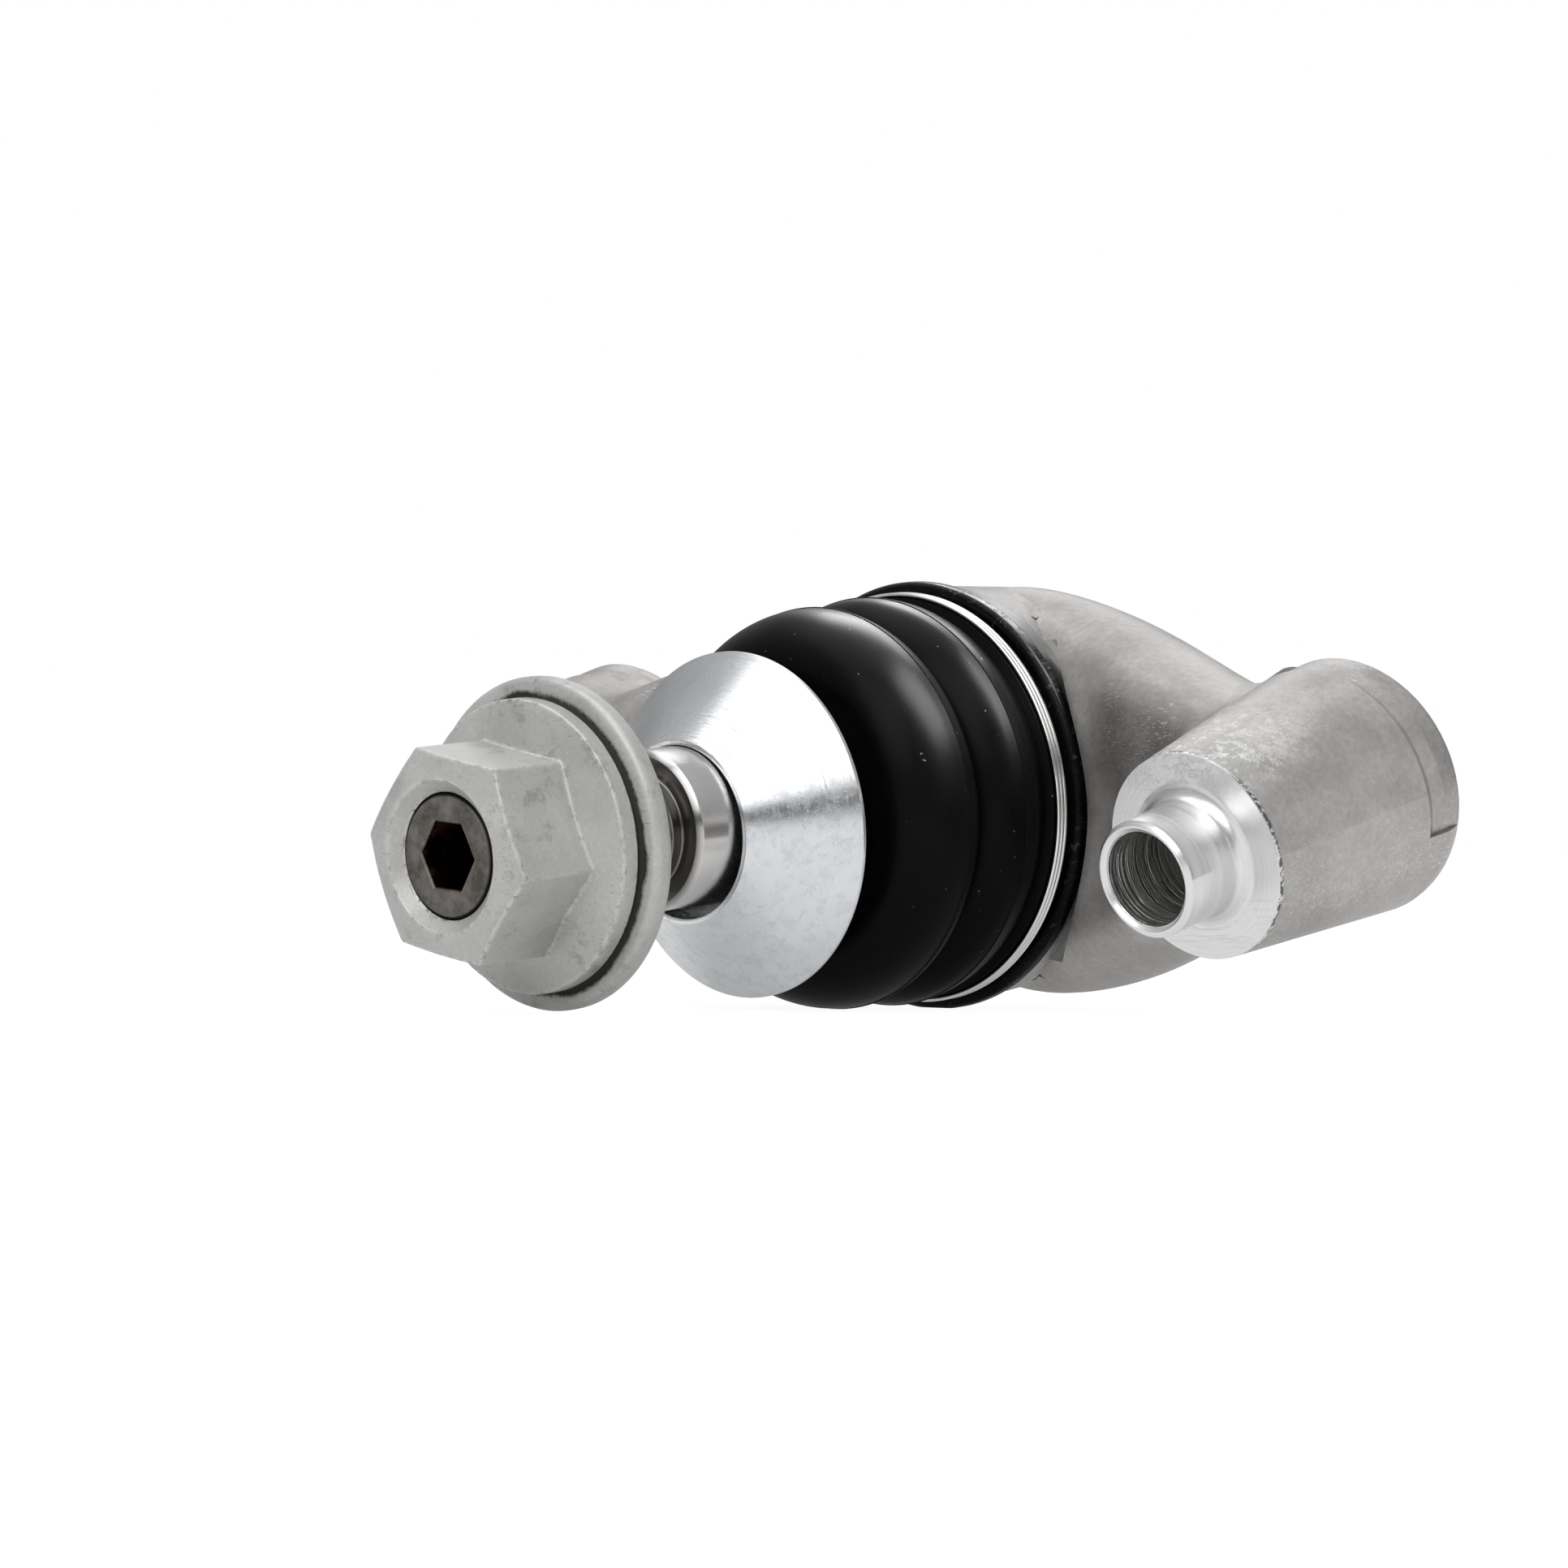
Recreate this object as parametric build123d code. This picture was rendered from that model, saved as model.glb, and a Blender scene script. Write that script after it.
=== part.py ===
"""Suspension ball joint with a cast aluminium housing that bolts down by two arms.

Millimetres. The origin is the centre of the ball, which is the point that the joint turns about.
The stud points along -Y to its nut, the closed back of the housing faces +Y, the two arms run
along X and +Z is up. "Out" is a distance from the ball centre along the stud, towards the nut.
"""

import os
from math import asin, cos, pi, radians, sin, sqrt, tan

from build123d import *

# Running and fitting clearances
ball_clearance = 0.03
fit_clearance = 0.02
thread_clearance = 0.03

# How far a cutting shape reaches past what it cuts
overshoot = 1.0

# Ball stud
ball_radius = 15.0
ball_flat_radius = 6.0
neck_radius = 7.2
neck_end_out = 20.5
boot_seat_radius = 9.0
boot_seat_start_out = 27.0
collar_radius = 12.5
collar_thickness = 1.6
cone_seat_radius = 9.4
cone_seat_length = 5.5
shank_radius = 8.75
shank_end_out = 49.0
shank_chamfer = 0.6
relief_radius = 6.2
relief_length = 2.2
thread_radius = 7.0
stud_end_out = 77.6
stud_end_chamfer = 0.5
socket_across_flats = 7.0
socket_depth = 7.0
socket_turn = 5.0

# Cone ring that seats in the knuckle
cone_back_out = 34.0
cone_rim_radius = 18.9
cone_rim_land = 0.5
cone_face_radius = 10.0
cone_half_angle = 45.0

# Flange nut with its captive washer
nut_across_flats = 21.0
nut_front_proud = 1.0
nut_height_to_rim = 12.6
nut_turn = 11.0
nut_chamfer_radius = 10.1
nut_chamfer_angle = 30.0
nut_countersink_radius = 8.1
nut_back_countersink = 0.6
nut_back_countersink_depth = 0.6
flange_radius = 15.7
flange_slope_angle = 30.0
flange_rim = 1.1
washer_radius = 17.8
washer_thickness = 3.1
washer_gap = 0.25
washer_edge_round = 1.2
washer_bore_radius = 9.3
washer_counterbore_radius = 10.3
washer_counterbore_depth = 1.3
nut_neck_radius = 9.0
nut_lip_radius = 9.9
nut_lip_thickness = 0.8

# Housing body
bearing_bore_radius = 17.5
shell_cone_start_out = 5.0
shell_cone_end_out = 9.5
mouth_radius = 15.4
mouth_flare_radius = 17.0
housing_front_out = 11.5
boot_groove_radius = 20.2
boot_groove_start_out = 3.8
boot_groove_end_out = 10.2
front_lip_radius = 20.9
neck_front_radius = 23.4
neck_back_radius = 22.4
neck_back_y = 9.0
body_back_radius = 20.6
body_taper_end_y = 14.5
body_back_y = 19.4
body_back_chamfer = 1.2

# Bearing shells and closing cover
shell_lip_out = 8.0
cover_radius = 18.4
cover_front_y = 15.8
cover_thickness = 2.2
cover_dish_radius = 12.5
cover_dish_depth = 0.9
cover_lip_radius = 17.0

# Bolt bosses at the ends of the arms
boss_spacing = 110.0
boss_face_out = 22.2
boss_face_z = -4.5
boss_tilt = 12.0
boss_front_radius = 11.3
boss_back_radius = 14.2
boss_taper_length = 25.0
boss_back_round = 5.0
boss_step_behind_face = 22.2
boss_step_slope = 0.9
boss_step_depth = 0.5
boss_step_start = -20.0
boss_step_end = 112.0
spigot_radius = 6.4
spigot_length = 8.4
spigot_root_radius = 8.2
spigot_edge = 0.45
bolt_hole_radius = 5.19
bolt_hole_depth = 26.0
bolt_hole_countersink = 0.5
drill_angle = 118.0

# Arms: their ends in the body and in the boss
arm_root_front_out = 1.0
arm_root_back_y = 16.0
arm_root_half_height = 22.0
arm_tip_behind_face = 9.7
arm_tip_ahead_of_round = 1.0
arm_tip_half_height = 10.8
arm_sag = 1.1
arm_corner_fullness = 0.82
arm_fillet = 2.5

# Arms: sections as shares of the way from the body to the boss: place, back, height and front
right_arm_sections = [
    (0.0, 0.0, 0.0, 0.0),
    (0.25, 0.04, 0.0, 0.13),
    (0.44, 0.16, 0.21, 0.35),
    (0.62, 0.42, 0.48, 0.61),
    (0.8, 0.7, 0.79, 0.87),
    (1.0, 1.0, 1.0, 1.0),
]
left_arm_sections = [
    (0.0, 0.0, 0.0, 0.0),
    (0.25, 0.04, 0.0, 0.22),
    (0.44, 0.16, 0.21, 0.57),
    (0.62, 0.42, 0.48, 0.87),
    (0.8, 0.7, 0.79, 0.96),
    (1.0, 1.0, 1.0, 1.0),
]
relief_ring_radius = 24.6
relief_ring_out = 1.2
facing_radius = 39.0
facing_out = 5.0
cutter_end_out = 30.0

# Rubber boot
boot_bead_inner_radius = boot_groove_radius + fit_clearance
lip_clearance = 0.15
boot_lip_radius = 23.9
boot_lip_thickness = 1.0
boot_lip_edge = 0.35
clamp_groove_radius = 21.5
clamp_groove_flank = 1.0
clamp_out = 7.3
rear_lobe_radius = 22.7
rear_lobe_out = 11.2
valley_radius = 18.2
valley_out = 17.4
front_lobe_radius = 21.8
front_lobe_out = 23.6
front_lobe_bend = 5.2
boot_wall = 1.3
boot_neck_radius = 11.0
neck_ring_groove_depth = 0.4

# Wire rings of the boot
clamp_wire = 0.58
clamp_turns = 3
clamp_pitch = 0.563
neck_wire = 1.2
neck_ring_out = 30.3


def outline_face(*parts):
    """A face in the X-Z plane from points (radius, out) or edges drawn in that plane."""
    return Plane.XZ * make_face(list(parts))


def turned(face):
    """The solid turned from a face about the stud axis, with out pointing along -Y."""
    return Rot(90, 0, 0) * revolve(face, Axis.Z)


def turned_points(points):
    """The solid turned about the stud axis from its corner points (radius, out)."""
    return turned(Plane.XZ * make_face(Polyline(*points, close=True)))


def stud_frame(out, turn=0.0):
    """The place on the stud axis at a distance out, turned about it as seen from the nut."""
    return Rot(90, 0, 0) * Pos(0, 0, out) * Rot(0, 0, -turn)


def make_ball_stud():
    """Ball, neck, boot seat, collar, cone seat, shank and threaded end with its hex socket."""
    flat_out = -sqrt(ball_radius**2 - ball_flat_radius**2)
    neck_start_out = sqrt(ball_radius**2 - neck_radius**2)
    collar_start_out = cone_back_out - collar_thickness
    seat_end_out = cone_back_out + cone_seat_length
    thread_start_out = shank_end_out + relief_length
    ball = ThreePointArc(
        (ball_flat_radius, flat_out), (ball_radius, 0), (neck_radius, neck_start_out)
    )
    flare = Spline(
        (neck_radius, neck_end_out),
        (boot_seat_radius, boot_seat_start_out),
        tangents=[(0, 1), (0, 1)],
    )
    rest = Polyline(
        (boot_seat_radius, boot_seat_start_out),
        (boot_seat_radius, collar_start_out),
        (collar_radius, collar_start_out),
        (collar_radius, cone_back_out),
        (cone_seat_radius - fit_clearance, cone_back_out),
        (cone_seat_radius - fit_clearance, seat_end_out),
        (shank_radius, seat_end_out + cone_seat_radius - shank_radius),
        (shank_radius, shank_end_out - shank_chamfer),
        (shank_radius - shank_chamfer, shank_end_out),
        (relief_radius, shank_end_out),
        (relief_radius, thread_start_out - thread_radius + relief_radius),
        (thread_radius, thread_start_out),
        (thread_radius, stud_end_out - stud_end_chamfer),
        (thread_radius - stud_end_chamfer, stud_end_out),
        (0, stud_end_out),
        (0, flat_out),
        (ball_flat_radius, flat_out),
    )
    neck = Line((neck_radius, neck_start_out), (neck_radius, neck_end_out))
    stud = turned(outline_face(ball, neck, flare, rest))
    hexagon = RegularPolygon(socket_across_flats / 2, 6, major_radius=False)
    socket = extrude(hexagon, amount=-socket_depth)
    return stud - stud_frame(stud_end_out, socket_turn) * socket


def make_cone_ring():
    """Turned ring with a 45 degree seat, pushed onto the stud up to its collar."""
    cone_start_out = cone_back_out + cone_rim_land
    face_out = cone_start_out + (cone_rim_radius - cone_face_radius) / tan(radians(cone_half_angle))
    return turned_points(
        [
            (cone_seat_radius, cone_back_out),
            (cone_rim_radius, cone_back_out),
            (cone_rim_radius, cone_start_out),
            (cone_face_radius, face_out),
            (cone_seat_radius, face_out),
        ]
    )


nut_front_out = stud_end_out + nut_front_proud
rim_front_out = nut_front_out - nut_height_to_rim
rim_back_out = rim_front_out - flange_rim
washer_front_out = rim_back_out - washer_gap
washer_back_out = washer_front_out - washer_thickness


def make_flange_nut():
    """Hexagon nut with a sloping flange, a countersunk front and the neck that holds the washer."""
    corner_radius = nut_across_flats / 2 / cos(pi / 6)
    beyond_corner = corner_radius + overshoot
    chamfer_depth = (beyond_corner - nut_chamfer_radius) * tan(radians(nut_chamfer_angle))
    neck_end_out = washer_back_out + washer_counterbore_depth - washer_gap
    lip_end_out = neck_end_out - nut_lip_thickness
    hexagon = RegularPolygon(nut_across_flats / 2, 6, major_radius=False)
    prism = stud_frame(nut_front_out, nut_turn) * extrude(hexagon, amount=-nut_height_to_rim)
    rounding = turned_points(
        [
            (0, rim_front_out),
            (beyond_corner, rim_front_out),
            (beyond_corner, nut_front_out - chamfer_depth),
            (nut_chamfer_radius, nut_front_out),
            (0, nut_front_out),
        ]
    )
    flange = turned_points(
        [
            (0, rim_front_out + flange_radius * tan(radians(flange_slope_angle))),
            (flange_radius, rim_front_out),
            (flange_radius, rim_back_out),
            (nut_neck_radius, rim_back_out),
            (nut_neck_radius, neck_end_out),
            (nut_lip_radius, neck_end_out),
            (nut_lip_radius, lip_end_out),
            (0, lip_end_out),
        ]
    )
    bore_radius = thread_radius + thread_clearance
    bore = turned_points(
        [
            (0, lip_end_out),
            (bore_radius + nut_back_countersink, lip_end_out),
            (bore_radius, lip_end_out + nut_back_countersink_depth),
            (bore_radius, nut_front_out - nut_countersink_radius + bore_radius),
            (nut_countersink_radius + overshoot, nut_front_out + overshoot),
            (0, nut_front_out + overshoot),
        ]
    )
    return (prism & rounding) + flange - bore


def make_captive_washer():
    """Thick flat washer with a rounded edge, free to turn on the neck of the nut."""
    washer = turned_points(
        [
            (washer_bore_radius, washer_front_out),
            (washer_radius, washer_front_out),
            (washer_radius, washer_back_out),
            (washer_counterbore_radius, washer_back_out),
            (washer_counterbore_radius, washer_back_out + washer_counterbore_depth),
            (washer_bore_radius, washer_back_out + washer_counterbore_depth),
        ]
    )
    rim = washer.edges().filter_by(GeomType.CIRCLE).sort_by(SortBy.RADIUS)[-2:]
    return fillet(rim, washer_edge_round)


def make_barrel():
    """The round middle of the housing, solid, with the turned neck and the boot groove."""
    return turned(
        outline_face(
            Polyline(
                (0, -body_back_y),
                (body_back_radius - body_back_chamfer, -body_back_y),
                (body_back_radius, -body_back_y + body_back_chamfer),
                (body_back_radius, -body_taper_end_y),
                (neck_back_radius, -neck_back_y),
                (neck_front_radius, boot_groove_start_out),
                (boot_groove_radius, boot_groove_start_out),
                (boot_groove_radius, boot_groove_end_out),
                (front_lip_radius, boot_groove_end_out),
                (front_lip_radius, housing_front_out),
                (0, housing_front_out),
                close=True,
            )
        )
    )


def make_bearing_cavity():
    """What is bored out of the housing for the shells, the cover and the swing of the stud."""
    cover_back_y = cover_front_y + cover_thickness
    return turned_points(
        [
            (0, -body_back_y - overshoot),
            (cover_lip_radius, -body_back_y - overshoot),
            (cover_lip_radius, -cover_back_y),
            (cover_radius, -cover_back_y),
            (cover_radius, -cover_front_y),
            (bearing_bore_radius, -cover_front_y),
            (bearing_bore_radius, shell_cone_start_out),
            (mouth_radius, shell_cone_end_out),
            (mouth_flare_radius, housing_front_out + overshoot),
            (0, housing_front_out + overshoot),
        ]
    )


def arm_section(half_depth, half_height):
    """A full oval: one closed curve through its four ends and four corners."""
    ends = [(half_depth, 0), (0, half_height), (-half_depth, 0), (0, -half_height)]
    corners = [
        (arm_corner_fullness * half_depth * across, arm_corner_fullness * half_height * up)
        for across, up in ((1, 1), (-1, 1), (-1, -1), (1, -1))
    ]
    points = [point for pair in zip(ends, corners) for point in pair]
    return make_face(Spline(*points, periodic=True))


def make_arm(sections, side):
    """One arm lofted through oval sections from the middle of the body into its boss."""
    tip_front_out = boss_face_out - arm_tip_behind_face
    tip_back_y = boss_taper_length - boss_face_out - arm_tip_ahead_of_round
    rings = []
    for place_share, back_share, height_share, front_share in sections:
        front_y = -arm_root_front_out - front_share * (tip_front_out - arm_root_front_out)
        back_y = arm_root_back_y + back_share * (tip_back_y - arm_root_back_y)
        drop = height_share * (arm_root_half_height - arm_tip_half_height)
        middle_z = -arm_sag * sin(pi * place_share)
        place = Plane(
            origin=(side * place_share * boss_spacing / 2, (front_y + back_y) / 2, middle_z),
            x_dir=(0, 1, 0),
            z_dir=(side, 0, 0),
        )
        rings.append(place * arm_section((back_y - front_y) / 2, arm_root_half_height - drop))
    return loft(rings)


def turned_disc(radius, start_out, end_out):
    """A plain disc about the stud axis."""
    return turned_points([(0, start_out), (radius, start_out), (radius, end_out), (0, end_out)])


def boss_frame(side):
    """The place of one boss: its machined face, with local Z pointing out of the bolt hole."""
    return Pos(side * boss_spacing / 2, -boss_face_out, boss_face_z) * Rot(90 + boss_tilt, 0, 0)


def make_boss():
    """Tapered boss with a rounded back, a machined face and the locating spigot."""
    back = -boss_taper_length
    outer = Polyline(
        (boss_back_radius, back),
        (boss_front_radius, 0),
        (spigot_root_radius, 0),
    )
    root = RadiusArc(
        (spigot_root_radius, 0),
        (spigot_radius, spigot_root_radius - spigot_radius),
        spigot_root_radius - spigot_radius,
    )
    tip = Polyline(
        (spigot_radius, spigot_root_radius - spigot_radius),
        (spigot_radius, spigot_length - spigot_edge),
        (spigot_radius - spigot_edge, spigot_length),
        (0, spigot_length),
        (0, back - boss_back_round),
        (boss_back_radius - boss_back_round, back - boss_back_round),
    )
    dome = RadiusArc(
        (boss_back_radius - boss_back_round, back - boss_back_round),
        (boss_back_radius, back),
        -boss_back_round,
    )
    return revolve(outline_face(outer, root, tip, dome), Axis.Z)


def make_boss_step():
    """The shallow step in the casting behind the outer and upper side of the right boss."""
    taper = (boss_back_radius - boss_front_radius) / boss_taper_length
    edge_radius = boss_front_radius + taper * boss_step_behind_face
    foot_behind_face = boss_step_behind_face + boss_step_slope
    end_behind_face = boss_taper_length + boss_back_round + overshoot
    profile = Polyline(
        (edge_radius, -boss_step_behind_face),
        (edge_radius + taper * boss_step_slope - boss_step_depth, -foot_behind_face),
        (boss_back_radius - boss_step_depth, -boss_taper_length),
        (boss_back_radius - boss_step_depth, -end_behind_face),
        (boss_back_radius + overshoot, -end_behind_face),
        (boss_back_radius + overshoot, -boss_step_behind_face),
        close=True,
    )
    step = revolve(Plane.XZ * make_face(profile), Axis.Z, boss_step_end - boss_step_start)
    return boss_frame(1) * Rot(0, 0, boss_step_start) * step


def make_bolt_hole():
    """Blind hole for the bolt thread, countersunk at its mouth and pointed by the drill."""
    tip_depth = bolt_hole_radius / tan(radians(drill_angle / 2))
    mouth = bolt_hole_radius + bolt_hole_countersink
    return revolve(
        Plane.XZ
        * make_face(
            Polyline(
                (0, spigot_length + overshoot),
                (mouth + overshoot, spigot_length + overshoot),
                (bolt_hole_radius, spigot_length - bolt_hole_countersink),
                (bolt_hole_radius, spigot_length - bolt_hole_depth),
                (0, spigot_length - bolt_hole_depth - tip_depth),
                close=True,
            )
        ),
        Axis.Z,
    )


def make_arm_with_boss(sections, side):
    """An arm and its boss as cast, with a fillet where they meet."""
    arm = make_arm(sections, side)
    boss = boss_frame(side) * make_boss()
    joined = arm + boss
    return fillet(new_edges(arm, boss, combined=joined), arm_fillet)


def make_housing():
    """Cast housing: barrel, two arms and two bosses, then all that is machined into it."""
    relief = turned_disc(relief_ring_radius, relief_ring_out, cutter_end_out)
    facing = turned_disc(facing_radius, facing_out, cutter_end_out)
    right_arm = make_arm_with_boss(right_arm_sections, 1) - relief
    left_arm = make_arm_with_boss(left_arm_sections, -1) - relief - facing
    casting = make_barrel() + right_arm + left_arm - make_bearing_cavity()
    step = make_boss_step()
    casting -= step
    casting -= mirror(step, about=Plane.YZ)
    for side in (1, -1):
        casting -= boss_frame(side) * make_bolt_hole()
    return casting


def make_front_shell():
    """Plastic bearing shell in front of the ball, held by the cone inside the mouth."""
    inner = ball_radius + ball_clearance
    lip_radius = sqrt(inner**2 - shell_lip_out**2)
    lip_angle = asin(shell_lip_out / inner)
    slope = (bearing_bore_radius - mouth_radius) / (shell_cone_end_out - shell_cone_start_out)
    outer = bearing_bore_radius - fit_clearance
    lip_outer = outer - slope * (shell_lip_out - shell_cone_start_out)
    seat = ThreePointArc(
        (lip_radius, shell_lip_out),
        (inner * cos(lip_angle / 2), inner * sin(lip_angle / 2)),
        (inner, 0),
    )
    rest = Polyline(
        (inner, 0),
        (outer, 0),
        (outer, shell_cone_start_out - fit_clearance),
        (lip_outer - fit_clearance, shell_lip_out),
        (lip_radius, shell_lip_out),
    )
    return turned(outline_face(seat, rest))


def make_rear_shell():
    """Plastic bearing cup behind the ball, between it and the closing cover."""
    inner = ball_radius + ball_clearance
    outer = bearing_bore_radius - fit_clearance
    cup = turned_disc(outer, -cover_front_y, -fit_clearance)
    return cup - Sphere(inner)


def make_closing_cover():
    """Steel cover under the rolled edge at the back, with a shallow pressed dish."""
    outer = cover_radius - fit_clearance
    back = -cover_front_y - cover_thickness
    return turned_points(
        [
            (0, -cover_front_y - fit_clearance),
            (outer, -cover_front_y - fit_clearance),
            (outer, back + fit_clearance),
            (cover_dish_radius, back + fit_clearance),
            (cover_dish_radius - cover_dish_depth, back + cover_dish_depth),
            (0, back + cover_dish_depth),
        ]
    )


def s_bend(start, end, inset):
    """Two equal arcs from one lobe's crest to a valley, or back, set in by a wall's thickness."""
    (start_radius, start_out), (end_radius, end_out) = start, end
    rise = abs(end_radius - start_radius)
    bend = (rise**2 + (end_out - start_out) ** 2) / (4 * rise)
    turn = asin(abs(end_out - start_out) / (2 * bend))
    ahead = 1 if end_out > start_out else -1
    side = 1 if start_radius > end_radius else -1

    def first(angle):
        reach = bend - side * inset
        across = start_radius - side * bend + side * reach * cos(angle)
        return (across, start_out + ahead * reach * sin(angle))

    def second(angle):
        reach = bend + side * inset
        across = end_radius + side * bend - side * reach * cos(angle)
        return (across, end_out - ahead * reach * sin(angle))

    return [
        ThreePointArc(first(0), first(turn / 2), first(turn)),
        ThreePointArc(first(turn), second(turn / 2), second(0)),
    ]


def quarter(centre, radius):
    """A quarter arc in front of a lobe's crest, from its widest point towards the stud."""
    across, out = centre
    middle = radius * cos(pi / 4)
    return ThreePointArc(
        (across + radius, out), (across + middle, out + middle), (across, out + radius)
    )


def make_dust_boot():
    """Rubber boot with two lobes, clamped on the housing neck and on the stud."""
    neck_end_out = cone_back_out - collar_thickness - fit_clearance
    lip_end_out = boot_groove_start_out + boot_lip_thickness
    groove_start_out = lip_end_out + clamp_groove_flank
    groove_end_out = 2 * clamp_out - groove_start_out
    bore = boot_seat_radius + fit_clearance
    front_wall_out = front_lobe_out + front_lobe_bend
    wall_end_radius = front_lobe_radius - front_lobe_bend
    rear_crest = (rear_lobe_radius, rear_lobe_out)
    valley = (valley_radius, valley_out)
    front_crest = (front_lobe_radius, front_lobe_out)
    shoulder = Line((clamp_groove_radius, groove_end_out), (rear_lobe_radius, rear_lobe_out))
    outer_lobes = s_bend(rear_crest, valley, 0) + s_bend(valley, front_crest, 0)
    outer_front = quarter((wall_end_radius, front_lobe_out), front_lobe_bend)
    ring_groove_radius = boot_neck_radius - neck_ring_groove_depth
    neck = Polyline(
        (wall_end_radius, front_wall_out),
        (boot_neck_radius, front_wall_out),
        (boot_neck_radius, neck_ring_out - neck_wire / 2),
        (ring_groove_radius, neck_ring_out - neck_wire / 2),
        (ring_groove_radius, neck_ring_out + neck_wire / 2),
        (boot_neck_radius, neck_ring_out + neck_wire / 2),
        (boot_neck_radius, neck_end_out),
        (bore, neck_end_out),
        (bore, front_wall_out - boot_wall),
        (wall_end_radius, front_wall_out - boot_wall),
    )
    inner_front = quarter((wall_end_radius, front_lobe_out), front_lobe_bend - boot_wall)
    inner_lobes = s_bend(front_crest, valley, boot_wall) + s_bend(valley, rear_crest, boot_wall)
    bead = Polyline(
        (rear_lobe_radius - boot_wall, rear_lobe_out),
        (front_lip_radius + lip_clearance, housing_front_out - lip_clearance),
        (front_lip_radius + lip_clearance, boot_groove_end_out - fit_clearance),
        (boot_bead_inner_radius, boot_groove_end_out - fit_clearance),
        (boot_bead_inner_radius, boot_groove_start_out + fit_clearance),
        (boot_lip_radius - boot_lip_edge, boot_groove_start_out + fit_clearance),
        (boot_lip_radius, boot_groove_start_out + boot_lip_thickness / 2),
        (boot_lip_radius - boot_lip_edge, lip_end_out),
        (clamp_groove_radius, groove_start_out),
        (clamp_groove_radius, groove_end_out),
    )
    return turned(
        outline_face(*outer_lobes, outer_front, neck, inner_front, *inner_lobes, bead, shoulder)
    )


def make_clamp_wire():
    """Spring wire wound in close turns round the boot, drawn as one ring of touching turns."""
    centre_radius = clamp_groove_radius + fit_clearance + clamp_wire / 2
    section = Sketch()
    for turn in range(clamp_turns):
        place = (turn - (clamp_turns - 1) / 2) * clamp_pitch
        section += Pos(centre_radius, clamp_out + place) * Circle(clamp_wire / 2)
    return turned(Plane.XZ * section)


def make_neck_ring():
    """Spring wire ring that holds the neck of the boot on the stud."""
    centre_radius = boot_neck_radius - neck_ring_groove_depth + fit_clearance + neck_wire / 2
    section = Pos(centre_radius, neck_ring_out) * Circle(neck_wire / 2 - fit_clearance)
    return turned(Plane.XZ * section)


parts = {
    "housing": make_housing(),
    "front_bearing_shell": make_front_shell(),
    "rear_bearing_shell": make_rear_shell(),
    "closing_cover": make_closing_cover(),
    "ball_stud": make_ball_stud(),
    "dust_boot": make_dust_boot(),
    "boot_clamp_wire": make_clamp_wire(),
    "boot_neck_ring": make_neck_ring(),
    "cone_ring": make_cone_ring(),
    "captive_washer": make_captive_washer(),
    "flange_nut": make_flange_nut(),
}

os.makedirs("parts", exist_ok=True)
for name, piece in parts.items():
    export_step(piece, f"parts/{name}.step")
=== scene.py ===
"""Looks of a suspension ball joint, built round its solids.

Lengths that start as millimetres are turned into metres by MM. The ball centre is the origin, the
stud points along -Y, the closed back of the housing faces +Y, the arms run along X and +Z is up.
"Out" is a distance from the ball centre along the stud, towards the nut.
"""

from math import acos, atan2, cos, pi, radians, sin, sqrt, tan

import bmesh
import bpy
import numpy as np
from mathutils import Matrix, Vector
from mathutils.bvhtree import BVHTree


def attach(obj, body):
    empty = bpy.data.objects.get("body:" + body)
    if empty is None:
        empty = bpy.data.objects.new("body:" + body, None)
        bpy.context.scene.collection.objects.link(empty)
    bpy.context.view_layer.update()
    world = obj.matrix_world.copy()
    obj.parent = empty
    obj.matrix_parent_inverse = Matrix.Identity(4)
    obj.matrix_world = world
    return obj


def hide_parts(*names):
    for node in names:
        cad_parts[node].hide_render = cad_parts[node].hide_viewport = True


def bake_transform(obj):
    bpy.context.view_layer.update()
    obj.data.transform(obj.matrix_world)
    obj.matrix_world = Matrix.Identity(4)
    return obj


MM = 0.001

# Camera: where it stands round the ball, counted from the nut's side, and where it sees the ball
photo_width = 1932
camera_azimuth = 44.8
camera_elevation = 3.75
camera_roll = 3.25
camera_distance = 818.0
camera_focal_pixels = 9000.0
sensor_width = 36.0
ball_pixel = (1177.0, 975.5)

# Floor: the plane under the lip of the boot and the washer; its greys and its own light
floor_nose_down = 5.6
floor_reach = 3.0
floor_grey = 0.55
floor_seen_grey = 0.15
floor_seen_glow = 0.95
floor_mirrored_glow = 0.38
floor_plain_glow = 0.12

# Room: greys from straight down over eye level to straight up, and the dark place round the camera
room_greys = [(0.0, 0.5), (0.45, 0.5), (0.5, 0.3), (0.6, 0.32), (0.75, 0.45), (1.0, 0.6)]
dark_place = [(0.0, 1.0), (0.86, 1.0), (0.92, 0.15), (1.0, 0.1)]

# Lamps: name, azimuth, elevation, distance, width, height in metres and power in watts
lamps = [
    ("key", 27, 39.5, 0.9, 0.65, 0.75, 3.3),
    ("top", -60, 80, 0.9, 0.7, 0.7, 2.7),
    ("side", 105, 12, 0.9, 0.5, 0.5, 0.45),
    ("back", -145, 33, 0.9, 0.5, 0.4, 0.7),
]

# Lamps whose gleam is meant for the black rubber alone
rubber_lamps = [
    ("gleam", 115, 50, 0.9, 0.5, 0.62, 33.0),
    ("crest", -155, 48, 0.9, 0.6, 0.4, 14.0),
]

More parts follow.
